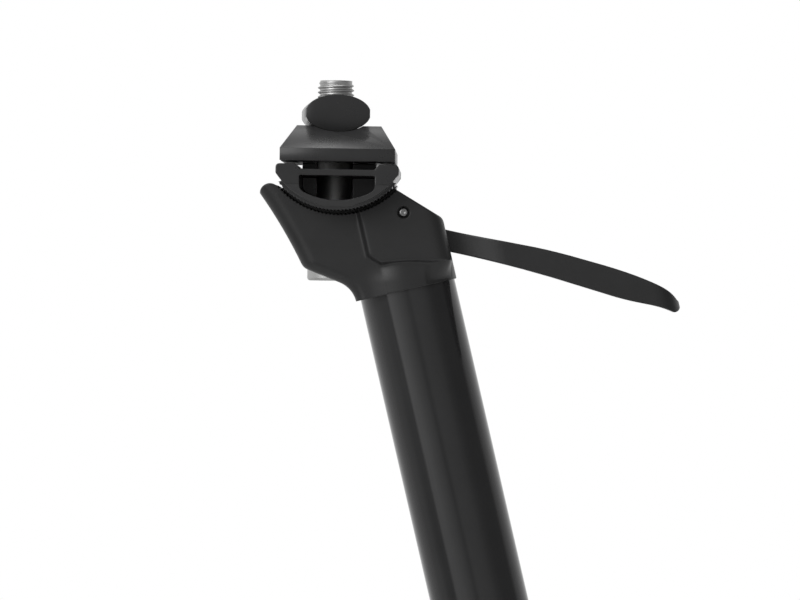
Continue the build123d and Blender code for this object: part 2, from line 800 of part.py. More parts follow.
with BuildPart() as head:
    with BuildSketch(Plane.XY.offset(rim)):
        Circle(skirt_radius)
    extrude(amount=cavity_floor + panel_low_back)
    with BuildSketch(Plane.XZ):
        with BuildLine():
            Line((0, rim), (-neck_foot, rim))
            ThreePointArc((-neck_foot, rim), throat, neck)
            Line(neck, heel)
            SagittaArc(heel, horn_rear, -spine_bow)
            ThreePointArc(horn_rear, horn_tip, seat_rear)
            Line(seat_rear, (0, seat_z))
            Line((0, seat_z), (0, rim))
        make_face()
    extrude(amount=arm_side, both=True)
    arm_edges = head.faces().filter_by(Axis.Y).edges()
    spine_edges = arm_edges.filter_by(
        lambda edge: edge.center().X < -neck_back and heel[1] < edge.center().Z < seat_rear[1]
    )
    fillet(spine_edges, radius=spine_round)
    arm_edges = head.faces().filter_by(Axis.Y).edges()
    low_edges = arm_edges.filter_by(lambda edge: edge.center().X < -neck_foot and edge.center().Z < heel[1])
    fillet(low_edges, radius=heel_round)
    add(head_cheeks.part)
    with BuildSketch(Plane.XZ):
        with BuildLine():
            Line((-skirt_radius - arm_width, rim), (head_front, rim))
            Line((head_front, rim), (head_front, brow[1] - brow_drop))
            ThreePointArc(
                (head_front, brow[1] - brow_drop),
                (brow[0] + brow_drop * brow_share, brow[1] - brow_drop * brow_share),
                brow,
            )
            Line(brow, seat_front)
            Line(seat_front, (seat_x, seat_front[1]))
            Line((seat_x, seat_front[1]), (seat_x, horn_tip[1]))
            Line((seat_x, horn_tip[1]), (-skirt_radius - arm_width, horn_tip[1]))
            Line((-skirt_radius - arm_width, horn_tip[1]), (-skirt_radius - arm_width, rim))
        make_face()
    extrude(amount=cheek_width, both=True, mode=Mode.INTERSECT)
    with BuildSketch(Plane.XY.offset(spigot_bottom)):
        Circle(stanchion_bore)
    extrude(amount=spigot_length + rim_overlap)
    with BuildSketch(Plane.XY.offset(rim)):
        Circle(stanchion_radius)
        Circle(stanchion_bore, mode=Mode.SUBTRACT)
    extrude(amount=rim_overlap, mode=Mode.SUBTRACT)
    with BuildSketch(Plane.XY.offset(spigot_bottom)):
        Circle(spigot_bore / 2)
    extrude(amount=guide_bottom - spigot_bottom, mode=Mode.SUBTRACT)
    with BuildSketch(Plane.XY.offset(guide_bottom)):
        Circle(guide_radius)
    extrude(amount=guide_length, mode=Mode.SUBTRACT)
    with BuildSketch(Plane.XZ):
        Polygon(*seat_teeth, align=None)
    extrude(amount=cheek_width, both=True, mode=Mode.SUBTRACT)
    with BuildSketch(Plane.XZ):
        with BuildLine():
            ThreePointArc(rib_rear, rib_mid, rib_front)
            Line(rib_front, rib_front_root)
            ThreePointArc(rib_front_root, rib_mid_root, rib_rear_root)
            Line(rib_rear_root, rib_rear)
        make_face()
    extrude(amount=rib_width / 2, both=True)
    with BuildSketch(Plane.XZ):
        Polygon(*bolt_slot, align=None)
    extrude(amount=slot_half, both=True, mode=Mode.SUBTRACT)
    with BuildSketch(Plane.XZ):
        with BuildLine():
            ThreePointArc(pocket_front, pocket_mid, pocket_rear)
            Polyline(pocket_rear, pocket_mouth, pocket_heel, pocket_foot, pocket_front)
        make_face()
    extrude(amount=pocket_half, both=True, mode=Mode.SUBTRACT)
    with BuildSketch(Plane.XZ):
        Polygon(*lever_cavity, align=None)
    extrude(amount=lever_width / 2 + lever_play, both=True, mode=Mode.SUBTRACT)
    with BuildSketch(Plane.XZ):
        with Locations((pin_forward, pin_z)):
            Circle(pin_radius)
    extrude(amount=cheek_width, both=True, mode=Mode.SUBTRACT)
    for side in (-1, 1):
        with BuildSketch(Plane.XZ.offset(side * cheek_side)):
            with Locations((pin_forward, pin_z)):
                Circle(pin_radius + pin_ring)
        extrude(amount=-side * pin_recess, mode=Mode.SUBTRACT)
head.part.label = "head"
export_step(head.part, "parts/head.step")

# Flanged sleeve that guides the button's shank
with BuildPart() as shank_guide:
    with BuildSketch(Plane.XY.offset(guide_bottom)):
        Circle(guide_radius)
        Circle(shank_radius + running_gap, mode=Mode.SUBTRACT)
    extrude(amount=guide_length)
shank_guide.part.label = "shank_guide"
export_step(shank_guide.part, "parts/shank_guide.step")

# Cross pin on which the lever turns, with domed ends
pin_half = cheek_side - pin_recess
with BuildPart() as lever_pin:
    with BuildSketch(Plane.XZ):
        with Locations((pin_forward, pin_z)):
            Circle(pin_radius)
    extrude(amount=pin_half, both=True)
    fillet(lever_pin.edges().filter_by(GeomType.CIRCLE), radius=pin_dome)
lever_pin.part.label = "lever_pin"
export_step(lever_pin.part, "parts/lever_pin.step")

# Lever: a nose over the button, a boss on the pin, and a long curved paddle
root_low = (head_front, pin_z - lever_root_drop)
root_high = (head_front, root_low[1] + lever_root_depth)
upper_edge_shares = (
    (0.240, 0.0),
    (0.439, -0.173),
    (0.633, -0.371),
    (0.826, -0.592),
    (0.904, -0.699),
    (0.970, -0.818),
    (0.993, -0.897),
)
tip_share = (1.0, -0.968)
lower_edge_shares = (
    (0.965, -1.0),
    (0.909, -0.928),
    (0.798, -0.827),
    (0.605, -0.622),
    (0.411, -0.405),
    (0.216, -0.204),
)


def on_lever(share):
    """A point of the lever's outline, from its shares of the reach and the drop."""
    return (root_low[0] + share[0] * lever_reach, root_low[1] + share[1] * lever_drop)


with BuildPart() as lever:
    with BuildSketch(Plane.XZ):
        with BuildLine():
            upper = Spline(root_high, *[on_lever(share) for share in upper_edge_shares])
            lower = Spline(*[on_lever(share) for share in lower_edge_shares], root_low)
            ThreePointArc(upper @ 1, on_lever(tip_share), lower @ 0)
            Line(root_low, root_high)
        make_face()
    extrude(amount=paddle_width / 2, both=True)
    paddle_start = head_front + overrun
    paddle_full = paddle_start + paddle_width
    paddle_end = head_front + lever_reach
    with BuildSketch(Plane.XY.offset(rim - lever_drop - overrun)):
        with BuildLine():
            for side in (-1, 1):
                Line((head_front, 0), (head_front, side * lever_width / 2))
                Line((head_front, side * lever_width / 2), (paddle_start, side * lever_width / 2))
                flare = Spline(
                    (paddle_start, side * lever_width / 2),
                    (paddle_full, side * paddle_width / 2),
                    tangents=((1, 0), (1, 0)),
                )
                bend = (paddle_end - paddle_width / 2, side * paddle_width / 2)
                Line((paddle_full, side * paddle_width / 2), bend)
                RadiusArc(bend, (paddle_end, 0), side * paddle_width / 2)
        make_face()
    extrude(amount=2 * lever_drop + 2 * lever_root_depth, mode=Mode.INTERSECT)
    with BuildSketch(Plane.XZ):
        with BuildLine():
            Line(root_low, root_high)
            CenterArc((pin_forward, pin_z), boss_radius, 0, 360)
        make_hull()
    extrude(amount=lever_width / 2, both=True)
    with BuildSketch(Plane.XZ):
        with BuildLine():
            CenterArc((pin_forward, pin_z), boss_radius, 0, 360)
            CenterArc((0, rim + nose_height), nose_radius, 0, 360)
        make_hull()
    extrude(amount=lever_width / 2, both=True)
    with BuildSketch(Plane.XZ):
        with Locations((pin_forward, pin_z)):
            Circle(pin_radius + running_gap)
    extrude(amount=lever_width, both=True, mode=Mode.SUBTRACT)
lever.part.label = "lever"
export_step(lever.part, "parts/lever.step")

# Directions of the saddle clamp at rest: forward along the rails, and up
tilt_turn = radians(clamp_tilt_angle)
forward = (cos(tilt_turn), 0, -sin(tilt_turn))
upward = (sin(tilt_turn), 0, cos(tilt_turn))
clamp_side = Plane(origin=(seat_x, 0, seat_z), x_dir=forward, z_dir=(0, -1, 0))
clamp_front = Plane(origin=(seat_x, 0, seat_z), x_dir=(0, 1, 0), z_dir=forward)
clamp_over = Plane(origin=(seat_x, 0, seat_z), x_dir=forward, z_dir=upward)

# Cradle: the lower half of the clamp, toothed to match the head
half_clamp = clamp_width / 2
half_cradle = cradle_length / 2
ear_top = -rail_level - ear_gap
ear_inner = half_cradle - ear_length
bar_top = ear_top - bar_drop
window_top = bar_top - bar_height
ear_root = sqrt(lip_radius**2 - half_cradle**2)
bolt_hole = bolt_diameter / 2 + bolt_hole_gap
window_rear = (-ear_inner, -window_level + window_round)
window_front = (ear_inner, -window_level + window_round)
web_top = -rail_level + clamp_split - running_gap
tooth_count = round(tooth_span_angle / tooth_pitch_angle)
cradle_teeth = []
for tooth in range(-2 * tooth_count, 2 * tooth_count + 1):
    tooth_angle = radians(tooth * tooth_pitch_angle / 2)
    reach = cradle_radius - tooth_depth * (tooth % 2)
    cradle_teeth.append((reach * sin(tooth_angle), -reach * cos(tooth_angle)))
with BuildPart() as cradle:
    with BuildSketch(clamp_side):
        with BuildLine():
            Line((-half_cradle, ear_top), (half_cradle, ear_top))
            Line((half_cradle, ear_top), (half_cradle, -ear_root))
            ThreePointArc((half_cradle, -ear_root), (0, -lip_radius), (-half_cradle, -ear_root))
            Line((-half_cradle, -ear_root), (-half_cradle, ear_top))
        make_face()
    extrude(amount=half_clamp, both=True)
    ear_corners = cradle.edges().filter_by(Axis.Y)
    fillet(ear_corners.sort_by(lambda edge: edge.center().dot(Vector(*upward)))[-2:], radius=ear_round)
    with BuildSketch(clamp_side):
        Polygon(*cradle_teeth, (0, window_top), align=None)
    extrude(amount=half_clamp - lip_inset, both=True)
    with BuildSketch(clamp_side):
        with BuildLine():
            Polyline(
                (-ear_inner - ear_chamfer, ear_top),
                (-ear_inner, ear_top - ear_chamfer),
                (-ear_inner, bar_top),
                (ear_inner, bar_top),
                (ear_inner, ear_top - ear_chamfer),
                (ear_inner + ear_chamfer, ear_top),
                (ear_inner + ear_chamfer, ear_top + overrun),
                (-ear_inner - ear_chamfer, ear_top + overrun),
                close=True,
            )
        make_face()
    extrude(amount=clamp_width, both=True, mode=Mode.SUBTRACT)
    with BuildSketch(clamp_side):
        with Locations((0, window_top)):
            Rectangle(2 * ear_inner, web_top - window_top, align=(Align.CENTER, Align.MIN))
    extrude(amount=web_thickness / 2, both=True)
    for side in (-1, 1):
        with BuildSketch(clamp_side.offset(side * web_thickness / 2)) as window:
            with BuildLine():
                Line(window_rear, (-ear_inner, window_top))
                Line((-ear_inner, window_top), (ear_inner, window_top))
                Line((ear_inner, window_top), window_front)
                ThreePointArc(window_front, (0, -window_level), window_rear)
            make_face()
            fillet(window.vertices().group_by(Axis.Y)[0], radius=window_corner)
        extrude(amount=side * clamp_width, mode=Mode.SUBTRACT)
        with BuildSketch(clamp_front.offset(-cradle_length)):
            Polygon(
                (side * half_clamp, -ear_face_level),
                (side * (half_clamp - lip_inset), -lip_radius),
                (side * (half_clamp - lip_inset), -cradle_radius - overrun),
                (side * (half_clamp + overrun), -cradle_radius - overrun),
                (side * (half_clamp + overrun), -ear_face_level),
                align=None,
            )
        extrude(amount=2 * cradle_length, mode=Mode.SUBTRACT)
    with BuildSketch(clamp_front):
        with Locations((-rail_spacing / 2, -rail_level), (rail_spacing / 2, -rail_level)):
            Circle(rail_diameter / 2)
    extrude(amount=cradle_length, both=True, mode=Mode.SUBTRACT)
    with BuildSketch(clamp_side):
        Circle(cradle_radius + overrun)
        Circle(rib_radius - free_gap, mode=Mode.SUBTRACT)
    extrude(amount=rib_width / 2 + free_gap, both=True, mode=Mode.SUBTRACT)
    with BuildSketch(clamp_over):
        with Locations((bolt_offset, 0)):
            Circle(bolt_hole)
    extrude(amount=-2 * cradle_radius, mode=Mode.SUBTRACT)
cradle.part.label = "cradle"
export_step(cradle.part, "parts/cradle.step")

# Washer under the arm, curved on top so that it can follow the tilt
washer_arc = arm_depth + free_gap
washer_bottom = bolt_length - bolt_tip_level - running_gap
with BuildPart() as curved_washer:
    with BuildSketch(clamp_over.offset(-washer_bottom)):
        with Locations((bolt_offset, 0)):
            Circle(washer_radius)
            Circle(bolt_hole, mode=Mode.SUBTRACT)
    extrude(amount=washer_radius)
    with BuildSketch(clamp_side):
        Circle(washer_arc)
    extrude(amount=clamp_width, both=True, mode=Mode.SUBTRACT)
curved_washer.part.label = "curved_washer"
export_step(curved_washer.part, "parts/curved_washer.step")

# Upper clamp: a low roof over the rails, with a seat for the barrel nut
nut_origin = clamp_over.from_local_coords((bolt_offset, 0, nut_level))
nut_plane = Plane(origin=nut_origin, x_dir=forward, z_dir=(0, -1, 0))
nut_plane = Plane(
    origin=nut_origin,
    x_dir=nut_plane.x_dir.rotate(Axis((0, 0, 0), upward), nut_turn_angle),
    z_dir=nut_plane.z_dir.rotate(Axis((0, 0, 0), upward), nut_turn_angle),
)
half_roof = clamp_length / 2
roof_bottom = -rail_level + clamp_split
half_roof_top = clamp_top_length / 2
with BuildPart() as upper_clamp:
    with BuildSketch(clamp_side):
        Polygon(
            (-half_roof, roof_bottom),
            (half_roof, roof_bottom),
            (half_roof, -clamp_face_level),
            (half_roof_top, clamp_top_level),
            (-half_roof_top, clamp_top_level),
            (-half_roof, -clamp_face_level),
            align=None,
        )
    extrude(amount=half_clamp, both=True)
    with BuildSketch(clamp_front):
        Polygon(
            (-half_clamp, roof_bottom),
            (half_clamp, roof_bottom),
            (half_clamp, -clamp_face_level),
            (clamp_top_width / 2, clamp_top_level),
            (-clamp_top_width / 2, clamp_top_level),
            (-half_clamp, -clamp_face_level),
            align=None,
        )
    extrude(amount=clamp_length, both=True, mode=Mode.INTERSECT)
    with BuildSketch(clamp_front):
        with Locations((-rail_spacing / 2, -rail_level), (rail_spacing / 2, -rail_level)):
            Circle(rail_diameter / 2)
    extrude(amount=clamp_length, both=True, mode=Mode.SUBTRACT)
    with BuildSketch(nut_plane):
        Ellipse(nut_width / 2 + nut_flat + 2 * running_gap, nut_thickness / 2 + 2 * running_gap)
    extrude(amount=half_clamp, both=True, mode=Mode.SUBTRACT)
    with BuildSketch(clamp_over.offset(-2 * rail_level)):
        with Locations((bolt_offset, 0)):
            Circle(bolt_hole)
    extrude(amount=4 * rail_level, mode=Mode.SUBTRACT)
upper_clamp.part.label = "upper_clamp"
export_step(upper_clamp.part, "parts/upper_clamp.step")

# Oval barrel nut with flat sides, which lies across the clamp and carries the bolt's thread
with BuildPart() as barrel_nut:
    with BuildSketch(nut_plane):
        Ellipse(nut_width / 2 + nut_flat, nut_thickness / 2)
        Rectangle(nut_width, nut_thickness, mode=Mode.INTERSECT)
    extrude(amount=nut_length / 2, both=True)
    with BuildSketch(clamp_over.offset(nut_level - nut_thickness)):
        with Locations((bolt_offset, 0)):
            Circle(bolt_diameter / 2 + running_gap)
    extrude(amount=2 * nut_thickness, mode=Mode.SUBTRACT)
barrel_nut.part.label = "barrel_nut"
export_step(barrel_nut.part, "parts/barrel_nut.step")

# Clamp bolt: socket head below the arm, shank through the clamp, thread on top
bolt_radius = bolt_diameter / 2
root_radius = bolt_radius - crest_depth
bolt_seat = bolt_tip_level - bolt_length
bolt_axis_x = bolt_offset
thread_profile = [(bolt_axis_x, bolt_seat), (bolt_axis_x + bolt_radius, bolt_seat)]
crest_count = int(threaded_length / bolt_pitch)
for crest in range(crest_count):
    crest_level = bolt_tip_level - (crest_count - crest) * bolt_pitch
    crest_land = bolt_pitch / 8
    thread_profile.append((bolt_axis_x + bolt_radius, crest_level + crest_land))
    thread_profile.append((bolt_axis_x + root_radius, crest_level + bolt_pitch / 2 - crest_land / 2))
    thread_profile.append((bolt_axis_x + root_radius, crest_level + bolt_pitch / 2 + crest_land / 2))
    thread_profile.append((bolt_axis_x + bolt_radius, crest_level + bolt_pitch - crest_land))
thread_profile[-1] = (bolt_axis_x + root_radius, bolt_tip_level)
thread_profile.append((bolt_axis_x, bolt_tip_level))
with BuildPart() as clamp_bolt:
    with BuildSketch(clamp_side):
        Polygon(*thread_profile, align=None)
    bolt_axis = Axis(clamp_side.from_local_coords((bolt_axis_x, 0, 0)), upward)
    revolve(axis=bolt_axis)
    with BuildSketch(clamp_over.offset(bolt_seat)):
        with Locations((bolt_offset, 0)):
            Circle(bolt_head_radius)
    extrude(amount=-bolt_head_height)
    head_rim = clamp_bolt.edges().sort_by(lambda edge: edge.center().dot(Vector(*upward)))[0]
    fillet(head_rim, radius=bolt_head_round)
    with BuildSketch(clamp_over.offset(bolt_seat - bolt_head_height)):
        with Locations((bolt_offset, 0)):
            RegularPolygon(hex_flats / 2, 6, major_radius=False)
    extrude(amount=hex_depth, mode=Mode.SUBTRACT)
clamp_bolt.part.label = "clamp_bolt"
export_step(clamp_bolt.part, "parts/clamp_bolt.step")
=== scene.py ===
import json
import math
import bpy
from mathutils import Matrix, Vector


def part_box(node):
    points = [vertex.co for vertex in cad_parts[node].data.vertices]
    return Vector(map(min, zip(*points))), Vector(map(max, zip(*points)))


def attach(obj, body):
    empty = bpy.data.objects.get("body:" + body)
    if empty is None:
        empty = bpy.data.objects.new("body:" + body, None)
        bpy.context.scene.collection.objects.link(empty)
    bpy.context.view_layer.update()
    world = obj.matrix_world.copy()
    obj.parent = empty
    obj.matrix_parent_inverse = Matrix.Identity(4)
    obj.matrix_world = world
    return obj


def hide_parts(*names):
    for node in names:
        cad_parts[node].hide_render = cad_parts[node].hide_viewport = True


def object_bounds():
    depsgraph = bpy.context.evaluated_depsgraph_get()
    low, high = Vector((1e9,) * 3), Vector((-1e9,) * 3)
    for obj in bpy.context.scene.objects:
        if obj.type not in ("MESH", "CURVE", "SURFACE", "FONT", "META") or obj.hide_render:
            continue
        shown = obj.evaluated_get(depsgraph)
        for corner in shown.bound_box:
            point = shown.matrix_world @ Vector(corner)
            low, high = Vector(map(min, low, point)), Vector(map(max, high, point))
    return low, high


bl_info = {
    "name": "Dropper seatpost",
    "version": (1, 0, 0),
    "blender": (4, 5, 0),
    "location": "View3D > Sidebar > Seatpost",
    "description": "Dresses a dropper seatpost with its finished pieces and materials",
    "category": "Add Mesh",
}

import bmesh
import bpy
from mathutils import Matrix, Vector

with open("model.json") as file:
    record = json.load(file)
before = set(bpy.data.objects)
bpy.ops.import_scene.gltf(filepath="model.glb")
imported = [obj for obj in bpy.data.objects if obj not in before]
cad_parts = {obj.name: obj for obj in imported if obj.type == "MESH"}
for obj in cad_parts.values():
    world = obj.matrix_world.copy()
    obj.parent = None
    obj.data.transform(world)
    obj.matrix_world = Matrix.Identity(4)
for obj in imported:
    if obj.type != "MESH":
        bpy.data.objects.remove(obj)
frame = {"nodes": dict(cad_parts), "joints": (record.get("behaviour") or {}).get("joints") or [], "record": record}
CAD_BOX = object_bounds()
NODES = frame["nodes"]
BODIES = frame["record"]["behaviour"]["bodies"]
JOINTS = {joint["name"]: joint for joint in frame["joints"]}

MM = 0.001
UP = Vector((0.0, 0.0, 1.0))

TILT_CENTRE = Vector(JOINTS["cradle_tilt"]["pos_m"])
BOLT_POINT = Vector(JOINTS["bolt_turn"]["pos_m"])
BOLT_UP = -Vector(JOINTS["bolt_turn"]["axis"]).normalized()
PIN_POINT = Vector(JOINTS["lever_pull"]["pos_m"])
RIM_OVERLAP = 2.2 * MM
RIM_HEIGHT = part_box("stanchion")[1].z - RIM_OVERLAP

# The head's outline, from the post's axis
SKIRT_RADIUS = 13.6 * MM
ARM_SIDE = 12.5 * MM
CHEEK_SIDE = 14.6 * MM
CHEEK_CORNER = 4.5 * MM
NEARLY_ALONG = 0.01

# Faces that differ by less are one face, and edges that turn by more are broken
FLAT_ANGLE = math.radians(0.6)
SHARP_ANGLE = math.radians(28)


class SeatpostSizes(bpy.types.PropertyGroup):
    """Small sizes of the finished surfaces"""

    forging_voxel: bpy.props.FloatProperty(
        name="Forging grid",
        description="Size of the grid on which the forged and cast pieces are rounded",
        default=0.16 * MM,
        subtype="DISTANCE",
    )
    forging_rounds: bpy.props.IntProperty(
        name="Forging rounds",
        description="How often the free edges of the forged head are smoothed",
        default=52,
    )
    cast_rounds: bpy.props.IntProperty(
        name="Fine rounds",
        description="How often the edges of the finer pieces are smoothed",
        default=2,
    )
    machined_edge: bpy.props.FloatProperty(
        name="Machined edge",
        description="Width of the broken edge on turned and milled pieces",
        default=0.25 * MM,
        subtype="DISTANCE",
    )
    lever_edge: bpy.props.FloatProperty(
        name="Lever edge",
        description="Width of the rounding along the lever's long edges",
        default=1.5 * MM,
        subtype="DISTANCE",
    )
    thread_pitch: bpy.props.FloatProperty(
        name="Thread pitch",
        description="Rise of the clamp bolt's thread in one turn",
        default=1.25 * MM,
        subtype="DISTANCE",
    )
    thread_depth: bpy.props.FloatProperty(
        name="Thread depth",
        description="From the thread's crest to its root",
        default=0.62 * MM,
        subtype="DISTANCE",
    )
    thread_length: bpy.props.FloatProperty(
        name="Thread length",
        description="Length of the thread, from the bolt's tip",
        default=20.0 * MM,
        subtype="DISTANCE",
    )
    thread_turn: bpy.props.FloatProperty(
        name="Thread turn",
        description="How far the bolt's thread is turned round its axis",
        default=math.radians(150),
        subtype="ANGLE",
    )
    bolt_diameter: bpy.props.FloatProperty(
        name="Bolt diameter",
        description="Over the crests of the clamp bolt's thread",
        default=9.85 * MM,
        subtype="DISTANCE",
    )
    tip_bevel: bpy.props.FloatProperty(
        name="Tip bevel",
        description="Length over which the thread's crests taper to the bolt's tip",
        default=1.6 * MM,
        subtype="DISTANCE",
    )
    bolt_tip: bpy.props.FloatProperty(
        name="Bolt tip",
        description="Height of the bolt's tip above the clamp's centre",
        default=14.7 * MM,
        subtype="DISTANCE",
    )


class SeatpostColours(bpy.types.PropertyGroup):
    """Colours and gloss of the finishes"""

    satin_black: bpy.props.FloatVectorProperty(
        name="Satin black",
        description="Colour of the painted forging, the clamp and the lever",
        default=(0.017, 0.017, 0.0173),
        subtype="COLOR",
        size=3,
    )
    anodised_black: bpy.props.FloatVectorProperty(
        name="Anodised black",
        description="Colour of the two tubes",
        default=(0.0165, 0.0165, 0.017),
        subtype="COLOR",
        size=3,
    )
    zinc: bpy.props.FloatVectorProperty(
        name="Zinc",
        description="Colour of the plated clamp bolt",
        default=(0.56, 0.56, 0.555),
        subtype="COLOR",
        size=3,
    )
    scale_marks: bpy.props.FloatVectorProperty(
        name="Scale marks",
        description="Colour of the height marks on the outer tube",
        default=(0.55, 0.55, 0.55),
        subtype="COLOR",
        size=3,
    )
    satin_roughness: bpy.props.FloatProperty(
        name="Satin roughness",
        description="Roughness of the satin black pieces",
        default=0.38,
        min=0.0,
        max=1.0,
    )
    tube_roughness: bpy.props.FloatProperty(
        name="Tube roughness",
        description="Roughness of the anodised tubes",
        default=0.12,
        min=0.0,
        max=1.0,
    )


class SeatpostStudio(bpy.types.PropertyGroup):
    """Camera, and the post's lean in the picture"""

    lean: bpy.props.FloatProperty(
        name="Lean",
        description="How far the post leans back in the picture",
        default=math.radians(12.98),
        subtype="ANGLE",
    )
    distance: bpy.props.FloatProperty(
        name="Camera distance",
        description="From the camera to the post's axis",
        default=1.2,
        subtype="DISTANCE",
    )
    picture_scale: bpy.props.FloatProperty(
        name="Picture scale",
        description="Pixels for one metre at the post's axis, in a picture 800 pixels wide",
        default=3700.0,
    )
    swing: bpy.props.FloatProperty(
        name="Swing",
        description="How far the camera stands toward the lever's side",
        default=math.radians(0.65),
        subtype="ANGLE",
    )
    rise: bpy.props.FloatProperty(
        name="Rise",
        description="How far the camera stands above the middle of the picture",
        default=math.radians(0.3),
        subtype="ANGLE",
    )


def sizes():
    return bpy.context.scene.seatpost_sizes


def colours():
    return bpy.context.scene.seatpost_colours


def studio():
    return bpy.context.scene.seatpost_studio


# Mesh helpers


def new_object(name, bm):
    """An object at the origin, from a bmesh, which is freed."""
    mesh = bpy.data.meshes.new(name)
    bm.to_mesh(mesh)
    bm.free()
    piece = bpy.data.objects.new(name, mesh)
    bpy.context.scene.collection.objects.link(piece)
    return piece


def merged_bmesh(node):
    """A copy of a node's mesh with its loose triangles joined."""
    bm = bmesh.new()
    bm.from_mesh(NODES[node].data)
    bmesh.ops.remove_doubles(bm, verts=bm.verts, dist=MM / 1000)
    return bm


def dissolve_flats(bm, angle):
    """Joins the triangles of each flat face into one face."""
    bmesh.ops.dissolve_limit(bm, angle_limit=angle, verts=bm.verts, edges=bm.edges)


def sharp_edges(bm, angle):
    return [edge for edge in bm.edges if len(edge.link_faces) == 2 and edge.calc_face_angle(0.0) > angle]


def bevel_edges(bm, edges, width, segments):
    bmesh.ops.bevel(
        bm,
        geom=edges,
        offset=width,
        segments=segments,
        affect="EDGES",
        profile=0.5,
        material=-1,
        clamp_overlap=True,
    )


def bake_modifiers(piece):
    """Replaces a piece's mesh with what its modifiers make of it."""
    graph = bpy.context.evaluated_depsgraph_get()
    graph.update()
    finished = bpy.data.meshes.new_from_object(piece.evaluated_get(graph))
    piece.modifiers.clear()
    piece.data = finished
    finished.name = piece.name


def shade(piece, angle):
    """Smooth shading, but for edges sharper than an angle."""
    piece.data.shade_smooth()
    bm = bmesh.new()
    bm.from_mesh(piece.data)
    for edge in bm.edges:
        edge.smooth = edge.calc_face_angle(0.0) < angle
    bm.to_mesh(piece.data)
    bm.free()


def round_on_grid(piece, rounds):
    """Remeshes a piece on a fine grid and smooths its edges."""
    remesh = piece.modifiers.new("grid", "REMESH")
    remesh.mode = "VOXEL"
    remesh.voxel_size = sizes().forging_voxel
    smooth = piece.modifiers.new("soft edges", "SMOOTH")
    smooth.factor = 0.5
    smooth.iterations = rounds
    bake_modifiers(piece)


def thin_out(piece, kept_share):
    """Keeps a share of a piece's triangles, most of them where it curves."""
    thin = piece.modifiers.new("thin", "DECIMATE")
    thin.ratio = kept_share
    bake_modifiers(piece)


def smooth_where(piece, share_at, rounds):
    """Smooths a piece more where share_at says so, from 0 to 1 at a point."""
    group = piece.vertex_groups.new(name="soft")
    for vertex in piece.data.vertices:
        share = share_at(vertex.co)
        if share > 0:
            group.add([vertex.index], share, "REPLACE")
    smooth = piece.modifiers.new("forged", "SMOOTH")
    smooth.factor = 0.5
    smooth.iterations = rounds
    smooth.vertex_group = group.name
    bake_modifiers(piece)
    piece.vertex_groups.clear()


def smoothstep(value, start, end):
    share = max(0.0, min(1.0, (value - start) / (end - start)))
    return share * share * (3 - 2 * share)


def cheek_reach(way_x, way_y):
    """From the post's axis to the rounded outline of the cheeks, along a direction seen from above."""
    side = CHEEK_SIDE / max(way_y, NEARLY_ALONG)
    front = SKIRT_RADIUS / max(way_x, NEARLY_ALONG)
    reach = min(side, front)
    middle_x, middle_y = SKIRT_RADIUS - CHEEK_CORNER, CHEEK_SIDE - CHEEK_CORNER
    across = middle_x * way_y - middle_y * way_x
    if abs(across) < CHEEK_CORNER and reach * way_x > middle_x and reach * way_y > middle_y:
        return middle_x * way_x + middle_y * way_y + math.sqrt(CHEEK_CORNER**2 - across**2)
    return reach


def forge_skirt(piece):
    """Runs the arm's sides and the cheeks' lower corners smoothly into the round skirt."""
    blend = 2.6 * MM
    skin = 0.5 * MM
    shallow = 0.4 * MM
    slot_side = 6 * MM
    panel_bottom = RIM_HEIGHT + 7 * MM
    panel_top = RIM_HEIGHT + 8 * MM
    panel_fall = 0.16
    panel_slope = 1.5 * MM
    swell_height = 4.5 * MM
    rim_strip = 0.2 * MM
    front_start, front_end = 1 * MM, 11 * MM
    rise_start = RIM_HEIGHT + 0.3 * MM
    for vertex in piece.data.vertices:
        x, y, z = vertex.co
        reach = math.hypot(x, y)
        below_panel = panel_bottom - panel_fall * x - z
        inside = reach < SKIRT_RADIUS - skin and abs(y) < ARM_SIDE - skin
        if inside or below_panel < -panel_slope or abs(y) < slot_side or z < RIM_HEIGHT - rim_strip:
            continue
        apart = abs((abs(y) - ARM_SIDE) - (reach - SKIRT_RADIUS))
        if apart < blend and min(reach - SKIRT_RADIUS, abs(y) - ARM_SIDE) < shallow:
            swell = (1 - apart / blend) ** 2 * blend / 4 * smoothstep(below_panel, 0.0, swell_height)
            vertex.co.y += math.copysign(swell, y)
        front = smoothstep(x, front_start, front_end)
        if front > 0 and reach > SKIRT_RADIUS - shallow:
            cheek = cheek_reach(x / reach, abs(y) / reach)
            risen = smoothstep(z, rise_start, panel_top - panel_fall * x)
            wanted = SKIRT_RADIUS + (cheek - SKIRT_RADIUS) * risen
            if wanted > reach:
                share = 1 + front * (wanted / reach - 1)
                vertex.co.x *= share
                vertex.co.y *= share


def dress(piece, node, material):
    """Gives a finished piece a material and the body of the node that it stands for, and hides the node."""
    body = next(name for name, members in BODIES.items() if node in members)
    piece.data.materials.clear()
    piece.data.materials.append(material)
    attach(piece, body)
    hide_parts(node)
    return piece


def machined_copy(node, name, material):
    """A node's shape with its edges broken."""
    bm = merged_bmesh(node)
    dissolve_flats(bm, FLAT_ANGLE)
    bevel_edges(bm, sharp_edges(bm, SHARP_ANGLE), sizes().machined_edge, 2)
    piece = new_object(name, bm)
    shade(piece, math.radians(35))
    return dress(piece, node, material)


# Shared shader node groups


def group_tree(name, inputs, outputs):
    """An empty shader node group with named float or vector sockets."""
    tree = bpy.data.node_groups.new(name, "ShaderNodeTree")
    kinds = {"value": "NodeSocketFloat", "vector": "NodeSocketVector"}
    for label, kind, default in inputs:
        socket = tree.interface.new_socket(label, in_out="INPUT", socket_type=kinds[kind])
        if default is not None:
            socket.default_value = default
    for label, kind in outputs:
        tree.interface.new_socket(label, in_out="OUTPUT", socket_type=kinds[kind])
    source = tree.nodes.new("NodeGroupInput")
    sink = tree.nodes.new("NodeGroupOutput")
    return tree, source, sink


